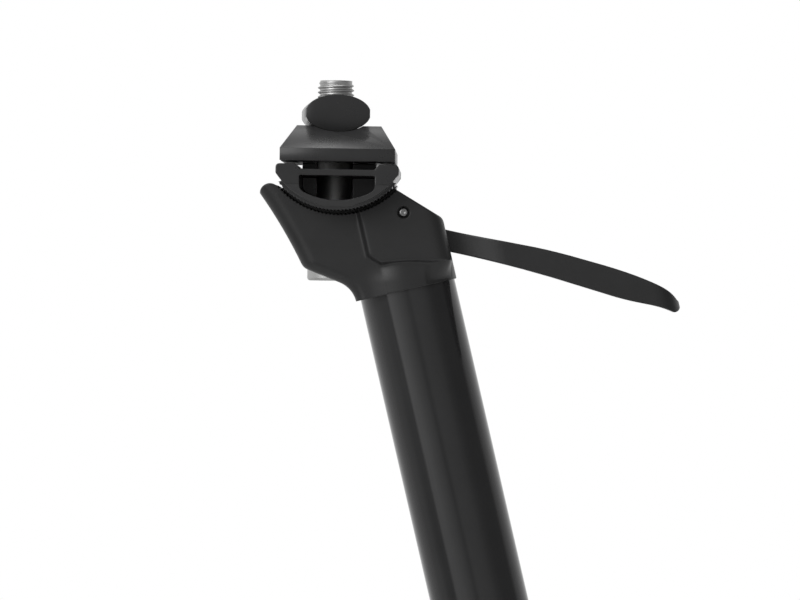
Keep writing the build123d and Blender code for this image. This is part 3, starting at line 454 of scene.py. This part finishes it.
def add_node(tree, kind, **values):
    """A node with its properties and, under the names of its inputs, their values."""
    node = tree.nodes.new(kind)
    for key, value in values.items():
        if hasattr(node, key):
            setattr(node, key, value)
        else:
            node.inputs[key.replace("_", " ")].default_value = value
    return node


def math_node(tree, operation, first, second, clamp=False):
    node = tree.nodes.new("ShaderNodeMath")
    node.operation = operation
    node.use_clamp = clamp
    for place, value in enumerate((first, second)):
        if isinstance(value, (int, float)):
            node.inputs[place].default_value = value
        else:
            tree.links.new(value, node.inputs[place])
    return node.outputs[0]


def map_range(tree, value, start, end, smooth=True):
    """Carries a value from one pair of limits to another. A limit may be a socket."""
    node = tree.nodes.new("ShaderNodeMapRange")
    node.interpolation_type = "SMOOTHSTEP" if smooth else "LINEAR"
    tree.links.new(value, node.inputs["Value"])
    for label, limit in zip(("From Min", "From Max", "To Min", "To Max"), (*start, *end)):
        if isinstance(limit, bpy.types.NodeSocket):
            tree.links.new(limit, node.inputs[label])
        else:
            node.inputs[label].default_value = limit
    return node.outputs["Result"]


def grain_group():
    """Fine paint or blasted grain: a height for bump and a slow mottle for roughness."""
    name = "Fine grain"
    if name in bpy.data.node_groups:
        return bpy.data.node_groups[name]
    tree, source, sink = group_tree(
        name,
        [("Vector", "vector", None), ("Grain", "value", 2600.0), ("Mottle", "value", 110.0)],
        [("Height", "value"), ("Mottle", "value")],
    )
    fine = add_node(tree, "ShaderNodeTexNoise", Detail=3.0, Roughness=0.6)
    slow = add_node(tree, "ShaderNodeTexNoise", Detail=4.0, Roughness=0.62)
    tree.links.new(source.outputs["Vector"], fine.inputs["Vector"])
    tree.links.new(source.outputs["Grain"], fine.inputs["Scale"])
    tree.links.new(source.outputs["Vector"], slow.inputs["Vector"])
    tree.links.new(source.outputs["Mottle"], slow.inputs["Scale"])
    tree.links.new(fine.outputs["Fac"], sink.inputs["Height"])
    tree.links.new(slow.outputs["Fac"], sink.inputs["Mottle"])
    return tree


def lathe_group():
    """Fine rings or drawn lines: noise stretched across one direction."""
    name = "Tool lines"
    if name in bpy.data.node_groups:
        return bpy.data.node_groups[name]
    tree, source, sink = group_tree(
        name,
        [("Vector", "vector", None), ("Stretch", "vector", (1.0, 1.0, 1.0)), ("Scale", "value", 1500.0)],
        [("Height", "value")],
    )
    stretch = tree.nodes.new("ShaderNodeVectorMath")
    stretch.operation = "MULTIPLY"
    lines = add_node(tree, "ShaderNodeTexNoise", Detail=2.0, Roughness=0.5)
    tree.links.new(source.outputs["Vector"], stretch.inputs[0])
    tree.links.new(source.outputs["Stretch"], stretch.inputs[1])
    tree.links.new(stretch.outputs[0], lines.inputs["Vector"])
    tree.links.new(source.outputs["Scale"], lines.inputs["Scale"])
    tree.links.new(lines.outputs["Fac"], sink.inputs["Height"])
    return tree


def wear_group():
    """Edges rubbed a little brighter: 1 on a worn edge, 0 elsewhere."""
    name = "Edge wear"
    if name in bpy.data.node_groups:
        return bpy.data.node_groups[name]
    tree, source, sink = group_tree(
        name,
        [("Vector", "vector", None), ("Width", "value", 0.0004), ("Amount", "value", 0.5)],
        [("Mask", "value")],
    )
    rounded = add_node(tree, "ShaderNodeBevel", samples=4)
    tree.links.new(source.outputs["Width"], rounded.inputs["Radius"])
    geometry = tree.nodes.new("ShaderNodeNewGeometry")
    aligned = tree.nodes.new("ShaderNodeVectorMath")
    aligned.operation = "DOT_PRODUCT"
    tree.links.new(rounded.outputs[0], aligned.inputs[0])
    tree.links.new(geometry.outputs["Normal"], aligned.inputs[1])
    turned = math_node(tree, "SUBTRACT", 1.0, aligned.outputs["Value"], clamp=True)
    strong = math_node(tree, "MULTIPLY", turned, 9.0, clamp=True)
    patches = add_node(tree, "ShaderNodeTexNoise", Scale=420.0, Detail=5.0, Roughness=0.7)
    tree.links.new(source.outputs["Vector"], patches.inputs["Vector"])
    broken = math_node(tree, "POWER", patches.outputs["Fac"], 2.0)
    worn = math_node(tree, "MULTIPLY", strong, broken)
    mask = math_node(tree, "MULTIPLY", worn, source.outputs["Amount"], clamp=True)
    tree.links.new(mask, sink.inputs["Mask"])
    return tree


# Materials


def start_material(name):
    """A material with its shader, object coordinates and links at hand."""
    material = bpy.data.materials.new(name)
    material.use_nodes = True
    tree = material.node_tree
    shader = tree.nodes["Principled BSDF"]
    place = tree.nodes.new("ShaderNodeTexCoord").outputs["Object"]
    return material, tree, shader, place


def use_group(tree, group, place, **values):
    node = tree.nodes.new("ShaderNodeGroup")
    node.node_tree = group
    tree.links.new(place, node.inputs["Vector"])
    for key, value in values.items():
        node.inputs[key].default_value = value
    return node


def add_bump(tree, shader, height, distance, strength=1.0):
    bump = add_node(tree, "ShaderNodeBump", Strength=strength, Distance=distance)
    tree.links.new(height, bump.inputs["Height"])
    tree.links.new(bump.outputs["Normal"], shader.inputs["Normal"])


def spread_roughness(tree, shader, mottle, low, high):
    """Roughness that wanders between two values with a mottle."""
    spread = map_range(tree, mottle, (0.3, 0.7), (low, high), smooth=False)
    tree.links.new(spread, shader.inputs["Roughness"])


def mix_colours(tree, mask, first, second):
    """One colour where the mask is 0 and another where it is 1. Either may be a socket."""
    mix = tree.nodes.new("ShaderNodeMix")
    mix.data_type = "RGBA"
    tree.links.new(mask, mix.inputs["Factor"])
    for socket, value in ((mix.inputs[6], first), (mix.inputs[7], second)):
        if isinstance(value, bpy.types.NodeSocket):
            tree.links.new(value, socket)
        else:
            socket.default_value = (*value, 1.0)
    return mix.outputs[2]


def satin_black(name, grain, grain_height, roughness, wear, lightness=1.0):
    """Satin black paint over metal: fine grain, slow mottle and faint wear on the edges."""
    material, tree, shader, place = start_material(name)
    texture = use_group(tree, grain_group(), place, Grain=grain)
    worn = use_group(tree, wear_group(), place, Width=0.35 * MM, Amount=wear)
    base = tuple(channel * lightness for channel in colours().satin_black)
    dusty = tuple(channel * 1.3 + 0.002 for channel in base)
    mottled = mix_colours(tree, texture.outputs["Mottle"], base, dusty)
    rubbed = tuple(channel * 5 + 0.02 for channel in base)
    colour = mix_colours(tree, worn.outputs["Mask"], mottled, rubbed)
    tree.links.new(colour, shader.inputs["Base Color"])
    shader.inputs["Specular IOR Level"].default_value = 0.38
    spread_roughness(tree, shader, texture.outputs["Mottle"], roughness - 0.02, roughness + 0.03)
    add_bump(tree, shader, texture.outputs["Height"], grain_height)
    return material


def anodised_tube(name):
    """Glossy black anodised tube, drawn along its length."""
    material, tree, shader, place = start_material(name)
    drawn = use_group(tree, lathe_group(), place, Stretch=(1.0, 1.0, 0.02), Scale=1400.0)
    texture = use_group(tree, grain_group(), place, Grain=1800.0, Mottle=60.0)
    base = tuple(colours().anodised_black)
    lighter = tuple(channel * 1.6 + 0.002 for channel in base)
    colour = mix_colours(tree, texture.outputs["Mottle"], base, lighter)
    tree.links.new(colour, shader.inputs["Base Color"])
    shader.inputs["Metallic"].default_value = 0.15
    shader.inputs["Specular IOR Level"].default_value = 0.5
    roughness = colours().tube_roughness
    spread_roughness(tree, shader, drawn.outputs["Height"], roughness - 0.03, roughness + 0.05)
    add_bump(tree, shader, drawn.outputs["Height"], 0.004 * MM, 0.5)
    return material


def marked_tube(name, bottom, top):
    """The outer tube's finish, with plain height marks at its back."""
    material = anodised_tube(name)
    tree = material.node_tree
    shader = tree.nodes["Principled BSDF"]
    place = tree.nodes.new("ShaderNodeTexCoord").outputs["Object"]
    split = tree.nodes.new("ShaderNodeSeparateXYZ")
    tree.links.new(place, split.inputs[0])
    step = 10 * MM
    line = 0.45 * MM
    short_mark, long_mark = 2.0 * MM, 4.2 * MM
    raised = math_node(tree, "ADD", split.outputs["Z"], line / 2)
    along = math_node(tree, "MODULO", raised, step)
    on_line = math_node(tree, "LESS_THAN", along, line)
    in_low = math_node(tree, "GREATER_THAN", split.outputs["Z"], bottom)
    in_high = math_node(tree, "LESS_THAN", split.outputs["Z"], top)
    count = math_node(tree, "FLOOR", math_node(tree, "DIVIDE", raised, step), 0.0)
    fifth = math_node(tree, "LESS_THAN", math_node(tree, "MODULO", count, 5.0), 0.5)
    longer = math_node(tree, "MULTIPLY", fifth, long_mark - short_mark)
    half_width = math_node(tree, "ADD", longer, short_mark)
    across = math_node(tree, "ABSOLUTE", split.outputs["Y"], 0.0)
    in_width = math_node(tree, "LESS_THAN", across, half_width)
    behind = math_node(tree, "LESS_THAN", split.outputs["X"], 0.0)
    mask = on_line
    for part in (in_low, in_high, in_width, behind):
        mask = math_node(tree, "MULTIPLY", mask, part)
    plain = shader.inputs["Base Color"].links[0].from_socket
    colour = mix_colours(tree, mask, plain, tuple(colours().scale_marks))
    tree.links.new(colour, shader.inputs["Base Color"])
    return material


def plated_steel(name, colour, roughness, line_stretch):
    """Zinc-plated or ground steel with fine tool lines and a little dirt."""
    material, tree, shader, place = start_material(name)
    lines = use_group(tree, lathe_group(), place, Stretch=line_stretch, Scale=1100.0)
    texture = use_group(tree, grain_group(), place, Grain=1500.0, Mottle=260.0)
    dull = tuple(channel * 0.72 for channel in colour)
    tinted = mix_colours(tree, texture.outputs["Mottle"], dull, colour)
    tree.links.new(tinted, shader.inputs["Base Color"])
    shader.inputs["Metallic"].default_value = 1.0
    spread_roughness(tree, shader, texture.outputs["Mottle"], roughness - 0.08, roughness + 0.08)
    add_bump(tree, shader, lines.outputs["Height"], 0.01 * MM, 0.6)
    return material


def soft_plastic(name, colour, roughness, grain_height=0.006 * MM):
    """Rubber, foam and filled plastic: matt, with a fine grain."""
    material, tree, shader, place = start_material(name)
    texture = use_group(tree, grain_group(), place, Grain=2200.0, Mottle=300.0)
    darker = tuple(channel * 0.7 for channel in colour)
    tinted = mix_colours(tree, texture.outputs["Mottle"], darker, colour)
    tree.links.new(tinted, shader.inputs["Base Color"])
    spread_roughness(tree, shader, texture.outputs["Mottle"], roughness - 0.06, roughness + 0.06)
    add_bump(tree, shader, texture.outputs["Height"], grain_height)
    return material


class SEATPOST_OT_head(bpy.types.Operator):
    """Forged head with its edges rounded, but for the toothed seat and the pin's hole"""

    bl_idname = "seatpost.head"
    bl_label = "Head"

    def execute(self, context):
        piece = new_object("head_forging", merged_bmesh("head"))
        round_on_grid(piece, sizes().cast_rounds)
        forge_skirt(piece)
        seat_reach = 23.2 * MM
        pin_ring = 2.6 * MM
        rim_ring = 2.6 * MM
        blend = 1.6 * MM

        def softness(point):
            """0 at the teeth, the pin's hole and below the rim, 1 on the free forged surfaces."""
            from_seat = math.hypot(point.x - TILT_CENTRE.x, point.z - TILT_CENTRE.z)
            from_pin = math.hypot(point.x - PIN_POINT.x, point.z - PIN_POINT.z)
            above_rim = point.z - RIM_HEIGHT
            nearest = min(from_seat - seat_reach, from_pin - pin_ring, above_rim - rim_ring)
            return max(0.0, min(1.0, nearest / blend))

        smooth_where(piece, softness, sizes().forging_rounds)
        thin_out(piece, 0.3)
        shade(piece, math.radians(60))
        paint = satin_black("Forged satin black", 2600.0, 0.012 * MM, colours().satin_roughness, 0.35)
        dress(piece, "head", paint)
        return {"FINISHED"}


class SEATPOST_OT_lever(bpy.types.Operator):
    """Lever with rounded long edges, its pin and the button that it presses"""

    bl_idname = "seatpost.lever"
    bl_label = "Lever"

    def execute(self, context):
        bm = merged_bmesh("lever")
        dissolve_flats(bm, math.radians(1.0))
        root_length = 12 * MM
        paddle_start = PIN_POINT.x + root_length
        long_edges = [
            edge
            for edge in sharp_edges(bm, math.radians(40))
            if all(vertex.co.x > paddle_start for vertex in edge.verts)
        ]
        bevel_edges(bm, long_edges, sizes().lever_edge, 4)
        bmesh.ops.triangulate(bm, faces=bm.faces)
        piece = new_object("lever_paddle", bm)
        round_on_grid(piece, sizes().cast_rounds + 3)
        thin_out(piece, 0.4)
        shade(piece, math.radians(60))
        paint = satin_black("Lever satin black", 3000.0, 0.008 * MM, colours().satin_roughness, 0.3)
        dress(piece, "lever", paint)
        steel = plated_steel("Ground steel", (0.30, 0.30, 0.30), 0.3, (1.0, 1.0, 1.0))
        pin_low, pin_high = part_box("lever_pin")
        half = pin_high.y
        radius = (pin_high.x - pin_low.x) / 2
        # The pin's domed end with a dimple: share of the radius, and how far below the end
        dome = ((1.0, 0.6), (0.93, 0.3), (0.75, 0.1), (0.5, 0.0), (0.3, 0.03), (0.0, 0.3))
        end = [(share * radius, half - depth * MM) for share, depth in dome]
        outline = [(reach, -along) for reach, along in reversed(end)] + end
        place = Matrix.Translation((PIN_POINT.x, 0.0, PIN_POINT.z)) @ Matrix.Rotation(math.pi / 2, 4, "X")
        pin = turned("lever_cross_pin", outline, 48, place)
        dress(pin, "lever_pin", steel)
        machined_copy("plunger_button", "plunger_cap", steel)
        return {"FINISHED"}


class SEATPOST_OT_clamp(bpy.types.Operator):
    """Cradle, upper clamp, barrel nut and curved washer"""

    bl_idname = "seatpost.clamp"
    bl_label = "Saddle clamp"

    def execute(self, context):
        lightness = 1.35
        roughness = colours().satin_roughness
        paint = satin_black("Clamp satin black", 2800.0, 0.003 * MM, roughness - 0.1, 0.25, lightness)
        piece = new_object("cradle_casting", merged_bmesh("cradle"))
        round_on_grid(piece, sizes().cast_rounds)
        thin_out(piece, 0.4)
        shade(piece, math.radians(60))
        dress(piece, "cradle", paint)
        machined_copy("upper_clamp", "roof_casting", paint)
        oxide = satin_black("Nut black oxide", 3000.0, 0.004 * MM, roughness - 0.12, 0.3, lightness)
        machined_copy("barrel_nut", "cross_nut", oxide)
        machined_copy("curved_washer", "dished_washer", oxide)
        return {"FINISHED"}


def cut_across(bm, level, way):
    """Cuts off what lies past a level along a direction, and gives the cut's edges."""
    cut = bmesh.ops.bisect_plane(
        bm,
        geom=bm.verts[:] + bm.edges[:] + bm.faces[:],
        plane_co=level,
        plane_no=way,
        clear_outer=True,
    )
    return [item for item in cut["geom_cut"] if isinstance(item, bmesh.types.BMEdge)]


def rolled_thread(start, tip):
    """A thread round the upward axis, from a start to the bevelled tip."""
    pitch = sizes().thread_pitch
    crest = sizes().bolt_diameter / 2
    root = crest - sizes().thread_depth
    turns = int(sizes().thread_length / pitch) + 3
    steps = 48
    thread = bmesh.new()
    profile = ((root, 0.0), (crest, 0.31), (crest, 0.44), (root, 0.75), (root, 1.0))
    base = start - 2 * pitch
    corners = [thread.verts.new((radius, 0.0, base + share * pitch)) for radius, share in profile]
    edges = [thread.edges.new(pair) for pair in zip(corners, corners[1:])]
    bmesh.ops.spin(
        thread,
        geom=corners + edges,
        cent=(0.0, 0.0, 0.0),
        axis=UP,
        dvec=UP * (pitch / steps),
        angle=turns * math.tau,
        steps=turns * steps,
        use_merge=False,
    )
    bmesh.ops.remove_doubles(thread, verts=thread.verts, dist=pitch / 200)
    cut_across(thread, UP * tip, UP)
    cut_across(thread, UP * start, -UP)
    open_edges = [edge for edge in thread.edges if edge.is_boundary]
    bmesh.ops.holes_fill(thread, edges=open_edges, sides=0)
    slope = (crest - root) / sizes().tip_bevel
    for vertex in thread.verts:
        reach = math.hypot(vertex.co.x, vertex.co.y)
        allowed = root + (tip - vertex.co.z) * slope
        if reach > allowed > 0:
            vertex.co.x *= allowed / reach
            vertex.co.y *= allowed / reach
    bmesh.ops.recalc_face_normals(thread, faces=thread.faces)
    return thread


class SEATPOST_OT_bolt(bpy.types.Operator):
    """Clamp bolt: the socket head and shank, with a rolled thread up to the tip"""

    bl_idname = "seatpost.bolt"
    bl_label = "Clamp bolt"

    def execute(self, context):
        tip = sizes().bolt_tip
        start = tip - sizes().thread_length
        place = Matrix.Translation(BOLT_POINT) @ UP.rotation_difference(BOLT_UP).to_matrix().to_4x4()
        turned_thread = place @ Matrix.Rotation(sizes().thread_turn, 4, "Z")
        thread = rolled_thread(start, tip)
        bmesh.ops.transform(thread, matrix=turned_thread, verts=thread.verts)

        bm = merged_bmesh("clamp_bolt")
        dissolve_flats(bm, FLAT_ANGLE)
        rim = cut_across(bm, BOLT_POINT + BOLT_UP * start, BOLT_UP)
        bmesh.ops.holes_fill(bm, edges=rim, sides=0)
        bevel_edges(bm, sharp_edges(bm, SHARP_ANGLE), sizes().machined_edge, 2)
        mesh = bpy.data.meshes.new("thread")
        thread.to_mesh(mesh)
        thread.free()
        bm.from_mesh(mesh)
        bpy.data.meshes.remove(mesh)
        piece = new_object("socket_bolt", bm)
        shade(piece, math.radians(50))
        zinc = plated_steel("Zinc-plated steel", tuple(colours().zinc), 0.48, (1.0, 1.0, 1.0))
        dress(piece, "clamp_bolt", zinc)
        return {"FINISHED"}


def turned(name, profile, steps=160, place=None):
    """A turned piece: pairs of radius and height spun round the post's axis, or round a placed one."""
    bm = bmesh.new()
    corners = [bm.verts.new((radius, 0.0, height)) for radius, height in profile]
    edges = [bm.edges.new(pair) for pair in zip(corners, corners[1:] + corners[:1])]
    bmesh.ops.spin(
        bm,
        geom=corners + edges,
        cent=(0.0, 0.0, 0.0),
        axis=UP,
        angle=math.tau,
        steps=steps,
        use_merge=True,
    )
    bmesh.ops.remove_doubles(bm, verts=bm.verts, dist=MM / 1000)
    bmesh.ops.recalc_face_normals(bm, faces=bm.faces)
    if place is not None:
        bmesh.ops.transform(bm, matrix=place, verts=bm.verts)
    piece = new_object(name, bm)
    shade(piece, math.radians(35))
    return piece


def tube_section(outer, inner, bottom, top, edge):
    """The section of a plain tube with its outer edges broken."""
    return (
        (inner, bottom),
        (outer - edge, bottom),
        (outer, bottom + edge),
        (outer, top - edge),
        (outer - edge, top),
        (inner, top),
    )


class SEATPOST_OT_tubes(bpy.types.Operator):
    """Outer tube, stanchion, collar and the wiper at the collar's mouth"""

    bl_idname = "seatpost.tubes"
    bl_label = "Tubes"

    def execute(self, context):
        edge = sizes().machined_edge
        slide_wall = 2 * MM
        low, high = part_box("stanchion")
        section = tube_section(high.x, high.x - slide_wall, low.z, high.z, edge)
        slide = turned("stanchion_tube", section)
        dress(slide, "stanchion", anodised_tube("Anodised stanchion"))
        low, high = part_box("lower_tube")
        inner = high.x - 1.5 * MM
        neck, neck_radius = 14 * MM, high.x - 0.3 * MM
        section = (
            (inner, low.z),
            (high.x - edge, low.z),
            (high.x, low.z + edge),
            (high.x, high.z - neck),
            (neck_radius, high.z - neck),
            (neck_radius, high.z),
            (inner, high.z),
        )
        outer = turned("outer_tube", section)
        marks_bottom, marks_top = 80 * MM, 206 * MM
        dress(outer, "lower_tube", marked_tube("Anodised outer tube", marks_bottom, marks_top))
        ring = satin_black("Collar satin black", 2600.0, 0.004 * MM, colours().satin_roughness - 0.08, 0.5)
        machined_copy("collar", "grip_collar", ring)
        machined_copy("bottom_cap", "end_cap", ring)
        rubber = soft_plastic("Black rubber", (0.018, 0.018, 0.018), 0.62)
        machined_copy("wiper_seal", "wiper", rubber)
        return {"FINISHED"}


class SEATPOST_OT_inside(bpy.types.Operator):
    """Finishes of the pieces inside the post"""

    bl_idname = "seatpost.inside"
    bl_label = "Inner pieces"

    def execute(self, context):
        steel = plated_steel("Hard chrome", (0.62, 0.62, 0.63), 0.16, (1.0, 1.0, 0.05))
        turned_metal = plated_steel("Turned aluminium", (0.72, 0.73, 0.74), 0.3, (0.05, 0.05, 1.0))
        brass = plated_steel("Milled brass", (0.72, 0.52, 0.22), 0.3, (1.0, 1.0, 0.2))
        rubber = soft_plastic("Seal rubber", (0.02, 0.02, 0.02), 0.55)
        green = soft_plastic("Seal plastic", (0.10, 0.25, 0.12), 0.4)
        foam = soft_plastic("Oiled foam", (0.20, 0.19, 0.17), 0.8, 0.03 * MM)
        nylon = soft_plastic("Filled nylon", (0.14, 0.13, 0.11), 0.45)
        tube = anodised_tube("Cartridge black")
        finishes = {
            steel: ("rod_end_nut", "piston_rod", "actuator_rod", "valve_spring", "cartridge_cylinder"),
            turned_metal: (
                "rod_gland",
                "valve_body",
                "cartridge_retainer",
                "piston",
                "floating_piston",
                "valve_poppet",
            ),
            brass: ("guide_keys",),
            rubber: ("collar_o_ring", "cap_o_ring", "gland_o_ring", "bottom_out_bumper", "top_out_bumper"),
            green: ("piston_seal", "rod_seal"),
            foam: ("foam_ring",),
            nylon: ("upper_bushing", "lower_bushing", "shank_guide"),
            tube: ("cartridge_tube",),
        }
        for material, members in finishes.items():
            for node in members:
                mesh = NODES[node].data
                mesh.materials.clear()
                mesh.materials.append(material)
        return {"FINISHED"}


def area_lamp(name, place, target, width, height, power):
    data = bpy.data.lights.new(name, "AREA")
    data.shape = "RECTANGLE"
    data.size = width
    data.size_y = height
    data.energy = power
    lamp = bpy.data.objects.new(name, data)
    bpy.context.scene.collection.objects.link(lamp)
    lamp.location = place
    lamp.rotation_mode = "QUATERNION"
    lamp.rotation_quaternion = (Vector(target) - Vector(place)).to_track_quat("-Z", "Y")
    return lamp


# The studio as a glossy surface mirrors it: degrees round the post from the camera's side, minus
# to the left, and how bright it is there. Dark in front, a soft box at the left, white behind.
STUDIO_WALL = (
    (-180, 1.0),
    (-128, 0.85),
    (-106, 0.86),
    (-89, 0.70),
    (-74, 0.68),
    (-58, 0.62),
    (-53, 0.40),
    (-50, 1.50),
    (-46, 1.50),
    (-35, 1.15),
    (-23, 0.82),
    (-11, 0.58),
    (-2, 0.32),
    (5, 0.56),
    (23, 0.52),
    (36, 0.45),
    (47, 0.29),
    (60, 0.20),
    (96, 0.18),
    (106, 0.55),
    (128, 0.80),
    (180, 1.0),
)


def seen_directly(tree):
    """1 for camera, glossy and transmission rays, 0 for the light that falls on surfaces."""
    path = tree.nodes.new("ShaderNodeLightPath")
    shown = math_node(tree, "ADD", path.outputs["Is Camera Ray"], path.outputs["Is Glossy Ray"])
    return math_node(tree, "ADD", shown, path.outputs["Is Transmission Ray"], clamp=True), path


def make_world():
    """White where it is seen, a studio with dark and light walls where it is mirrored."""
    world = bpy.data.worlds.new("Studio")
    world.use_nodes = True
    tree = world.node_tree
    background = tree.nodes["Background"]
    way = tree.nodes.new("ShaderNodeTexCoord").outputs["Generated"]
    upright = add_node(tree, "ShaderNodeVectorRotate", rotation_type="Y_AXIS")
    upright.inputs["Angle"].default_value = -studio().lean
    tree.links.new(way, upright.inputs["Vector"])
    split = tree.nodes.new("ShaderNodeSeparateXYZ")
    tree.links.new(upright.outputs[0], split.inputs[0])
    toward = math_node(tree, "MULTIPLY", split.outputs["Y"], -1.0)
    around = math_node(tree, "ARCTAN2", split.outputs["X"], toward)
    share = math_node(tree, "ADD", math_node(tree, "DIVIDE", around, math.tau), 0.5)
    wall = tree.nodes.new("ShaderNodeValToRGB")
    brightest = max(value for angle, value in STUDIO_WALL)
    stops = wall.color_ramp.elements
    while len(stops) < len(STUDIO_WALL):
        stops.new(0.5)
    for stop, (angle, value) in zip(stops, STUDIO_WALL):
        stop.position = 0.5 + angle / 360
        stop.color = (*(3 * (value / brightest,)), 1.0)
    tree.links.new(share, wall.inputs["Fac"])
    height = split.outputs["Z"]
    ceiling = map_range(tree, height, (0.35, 0.75), (1.0, 0.35))
    ground = map_range(tree, toward, (0.1, 0.45), (0.75, 0.2))
    below = map_range(tree, height, (-0.32, -0.16), (ground, 1.0))
    wall_value = math_node(tree, "MULTIPLY", wall.outputs["Color"], brightest)
    walls = math_node(tree, "MULTIPLY", wall_value, ceiling)
    mirrored = math_node(tree, "MULTIPLY", walls, below)
    shown, path = seen_directly(tree)
    sky = map_range(tree, height, (-0.4, 1.0), (0.12, 0.6), smooth=False)
    plain = tree.nodes.new("ShaderNodeMix")
    plain.data_type = "FLOAT"
    tree.links.new(shown, plain.inputs["Factor"])
    tree.links.new(sky, plain.inputs["A"])
    plain.inputs["B"].default_value = 1.0
    strength = tree.nodes.new("ShaderNodeMix")
    strength.data_type = "FLOAT"
    tree.links.new(path.outputs["Is Glossy Ray"], strength.inputs["Factor"])
    tree.links.new(plain.outputs["Result"], strength.inputs["A"])
    tree.links.new(mirrored, strength.inputs["B"])
    tree.links.new(strength.outputs["Result"], background.inputs["Strength"])
    background.inputs["Color"].default_value = (1.0, 1.0, 1.0, 1.0)
    bpy.context.scene.world = world


def make_floor(centre):
    """A wide pale floor under the post, which keeps its shadow."""
    bm = bmesh.new()
    bmesh.ops.create_grid(bm, x_segments=4, y_segments=4, size=0.8)
    bmesh.ops.translate(bm, vec=(centre.x, centre.y, CAD_BOX[0].z), verts=bm.verts)
    floor = new_object("studio_floor", bm)
    material = bpy.data.materials.new("Studio floor")
    material.use_nodes = True
    shader = material.node_tree.nodes["Principled BSDF"]
    shader.inputs["Base Color"].default_value = (0.82, 0.82, 0.82, 1.0)
    shader.inputs["Roughness"].default_value = 0.9
    shader.inputs["Specular IOR Level"].default_value = 0.1
    floor.data.materials.append(material)


class SEATPOST_OT_stage(bpy.types.Operator):
    """Floor, backdrop light, lamps and the camera"""

    bl_idname = "seatpost.stage"
    bl_label = "Stage"

    def execute(self, context):
        scene = context.scene
        settings = studio()
        lean = settings.lean
        right = Vector((math.cos(lean), 0.0, -math.sin(lean)))
        above = Vector((math.sin(lean), 0.0, math.cos(lean)))
        ahead = Vector((0.0, 1.0, 0.0))
        rim_pixel = Vector((407.6, 289.6))
        middle = Vector((400.0, 300.0))
        offset = (middle - rim_pixel) / settings.picture_scale
        target = UP * RIM_HEIGHT + right * offset.x - above * offset.y

        swing = Matrix.Rotation(settings.swing, 3, above)
        rise = Matrix.Rotation(-settings.rise, 3, right)
        turn = swing @ rise
        back = turn @ -ahead
        camera_data = bpy.data.cameras.new("Camera")
        camera_data.sensor_width = 36.0
        camera_data.lens = settings.picture_scale * settings.distance * camera_data.sensor_width / 800
        camera_data.clip_start = 0.01
        camera_data.clip_end = 50.0
        camera = bpy.data.objects.new("Camera", camera_data)
        scene.collection.objects.link(camera)
        axes = Matrix((turn @ right, turn @ above, back)).transposed()
        camera.matrix_world = Matrix.Translation(target + back * settings.distance) @ axes.to_4x4()
        scene.camera = camera

        make_world()
        make_floor(Vector((0.0, 0.0, 0.0)))
        head = UP * RIM_HEIGHT
        area_lamp("key_box", head + Vector((-0.5, -0.75, 0.45)), head, 0.6, 0.6, 4.0)
        area_lamp("top_box", head + Vector((0.1, 0.1, 0.8)), head, 0.6, 0.6, 3.0)
        scene.view_settings.view_transform = "Standard"
        return {"FINISHED"}


class SEATPOST_PT_panel(bpy.types.Panel):
    """Buttons for the seatpost's pieces and their settings"""

    bl_idname = "SEATPOST_PT_panel"
    bl_label = "Seatpost"
    bl_space_type = "VIEW_3D"
    bl_region_type = "UI"
    bl_category = "Seatpost"

    def draw(self, context):
        for operator in STEPS:
            self.layout.operator(operator.bl_idname)
        for settings in (sizes(), colours(), studio()):
            box = self.layout.box()
            for label in settings.bl_rna.properties.keys():
                if label not in ("name", "rna_type"):
                    box.prop(settings, label)


STEPS = (
    SEATPOST_OT_head,
    SEATPOST_OT_lever,
    SEATPOST_OT_clamp,
    SEATPOST_OT_bolt,
    SEATPOST_OT_tubes,
    SEATPOST_OT_inside,
    SEATPOST_OT_stage,
)
GROUPS = {
    "seatpost_sizes": SeatpostSizes,
    "seatpost_colours": SeatpostColours,
    "seatpost_studio": SeatpostStudio,
}


def register():
    for group in GROUPS.values():
        bpy.utils.register_class(group)
    for step in (*STEPS, SEATPOST_PT_panel):
        bpy.utils.register_class(step)
    for name, group in GROUPS.items():
        setattr(bpy.types.Scene, name, bpy.props.PointerProperty(type=group))


def unregister():
    for name in GROUPS:
        delattr(bpy.types.Scene, name)
    for step in (SEATPOST_PT_panel, *reversed(STEPS)):
        bpy.utils.unregister_class(step)
    for group in reversed(GROUPS.values()):
        bpy.utils.unregister_class(group)


def main():
    register()
    bpy.ops.seatpost.head()
    bpy.ops.seatpost.lever()
    bpy.ops.seatpost.clamp()
    bpy.ops.seatpost.bolt()
    bpy.ops.seatpost.tubes()
    bpy.ops.seatpost.inside()
    bpy.ops.seatpost.stage()


if __name__ == "__main__":
    main()
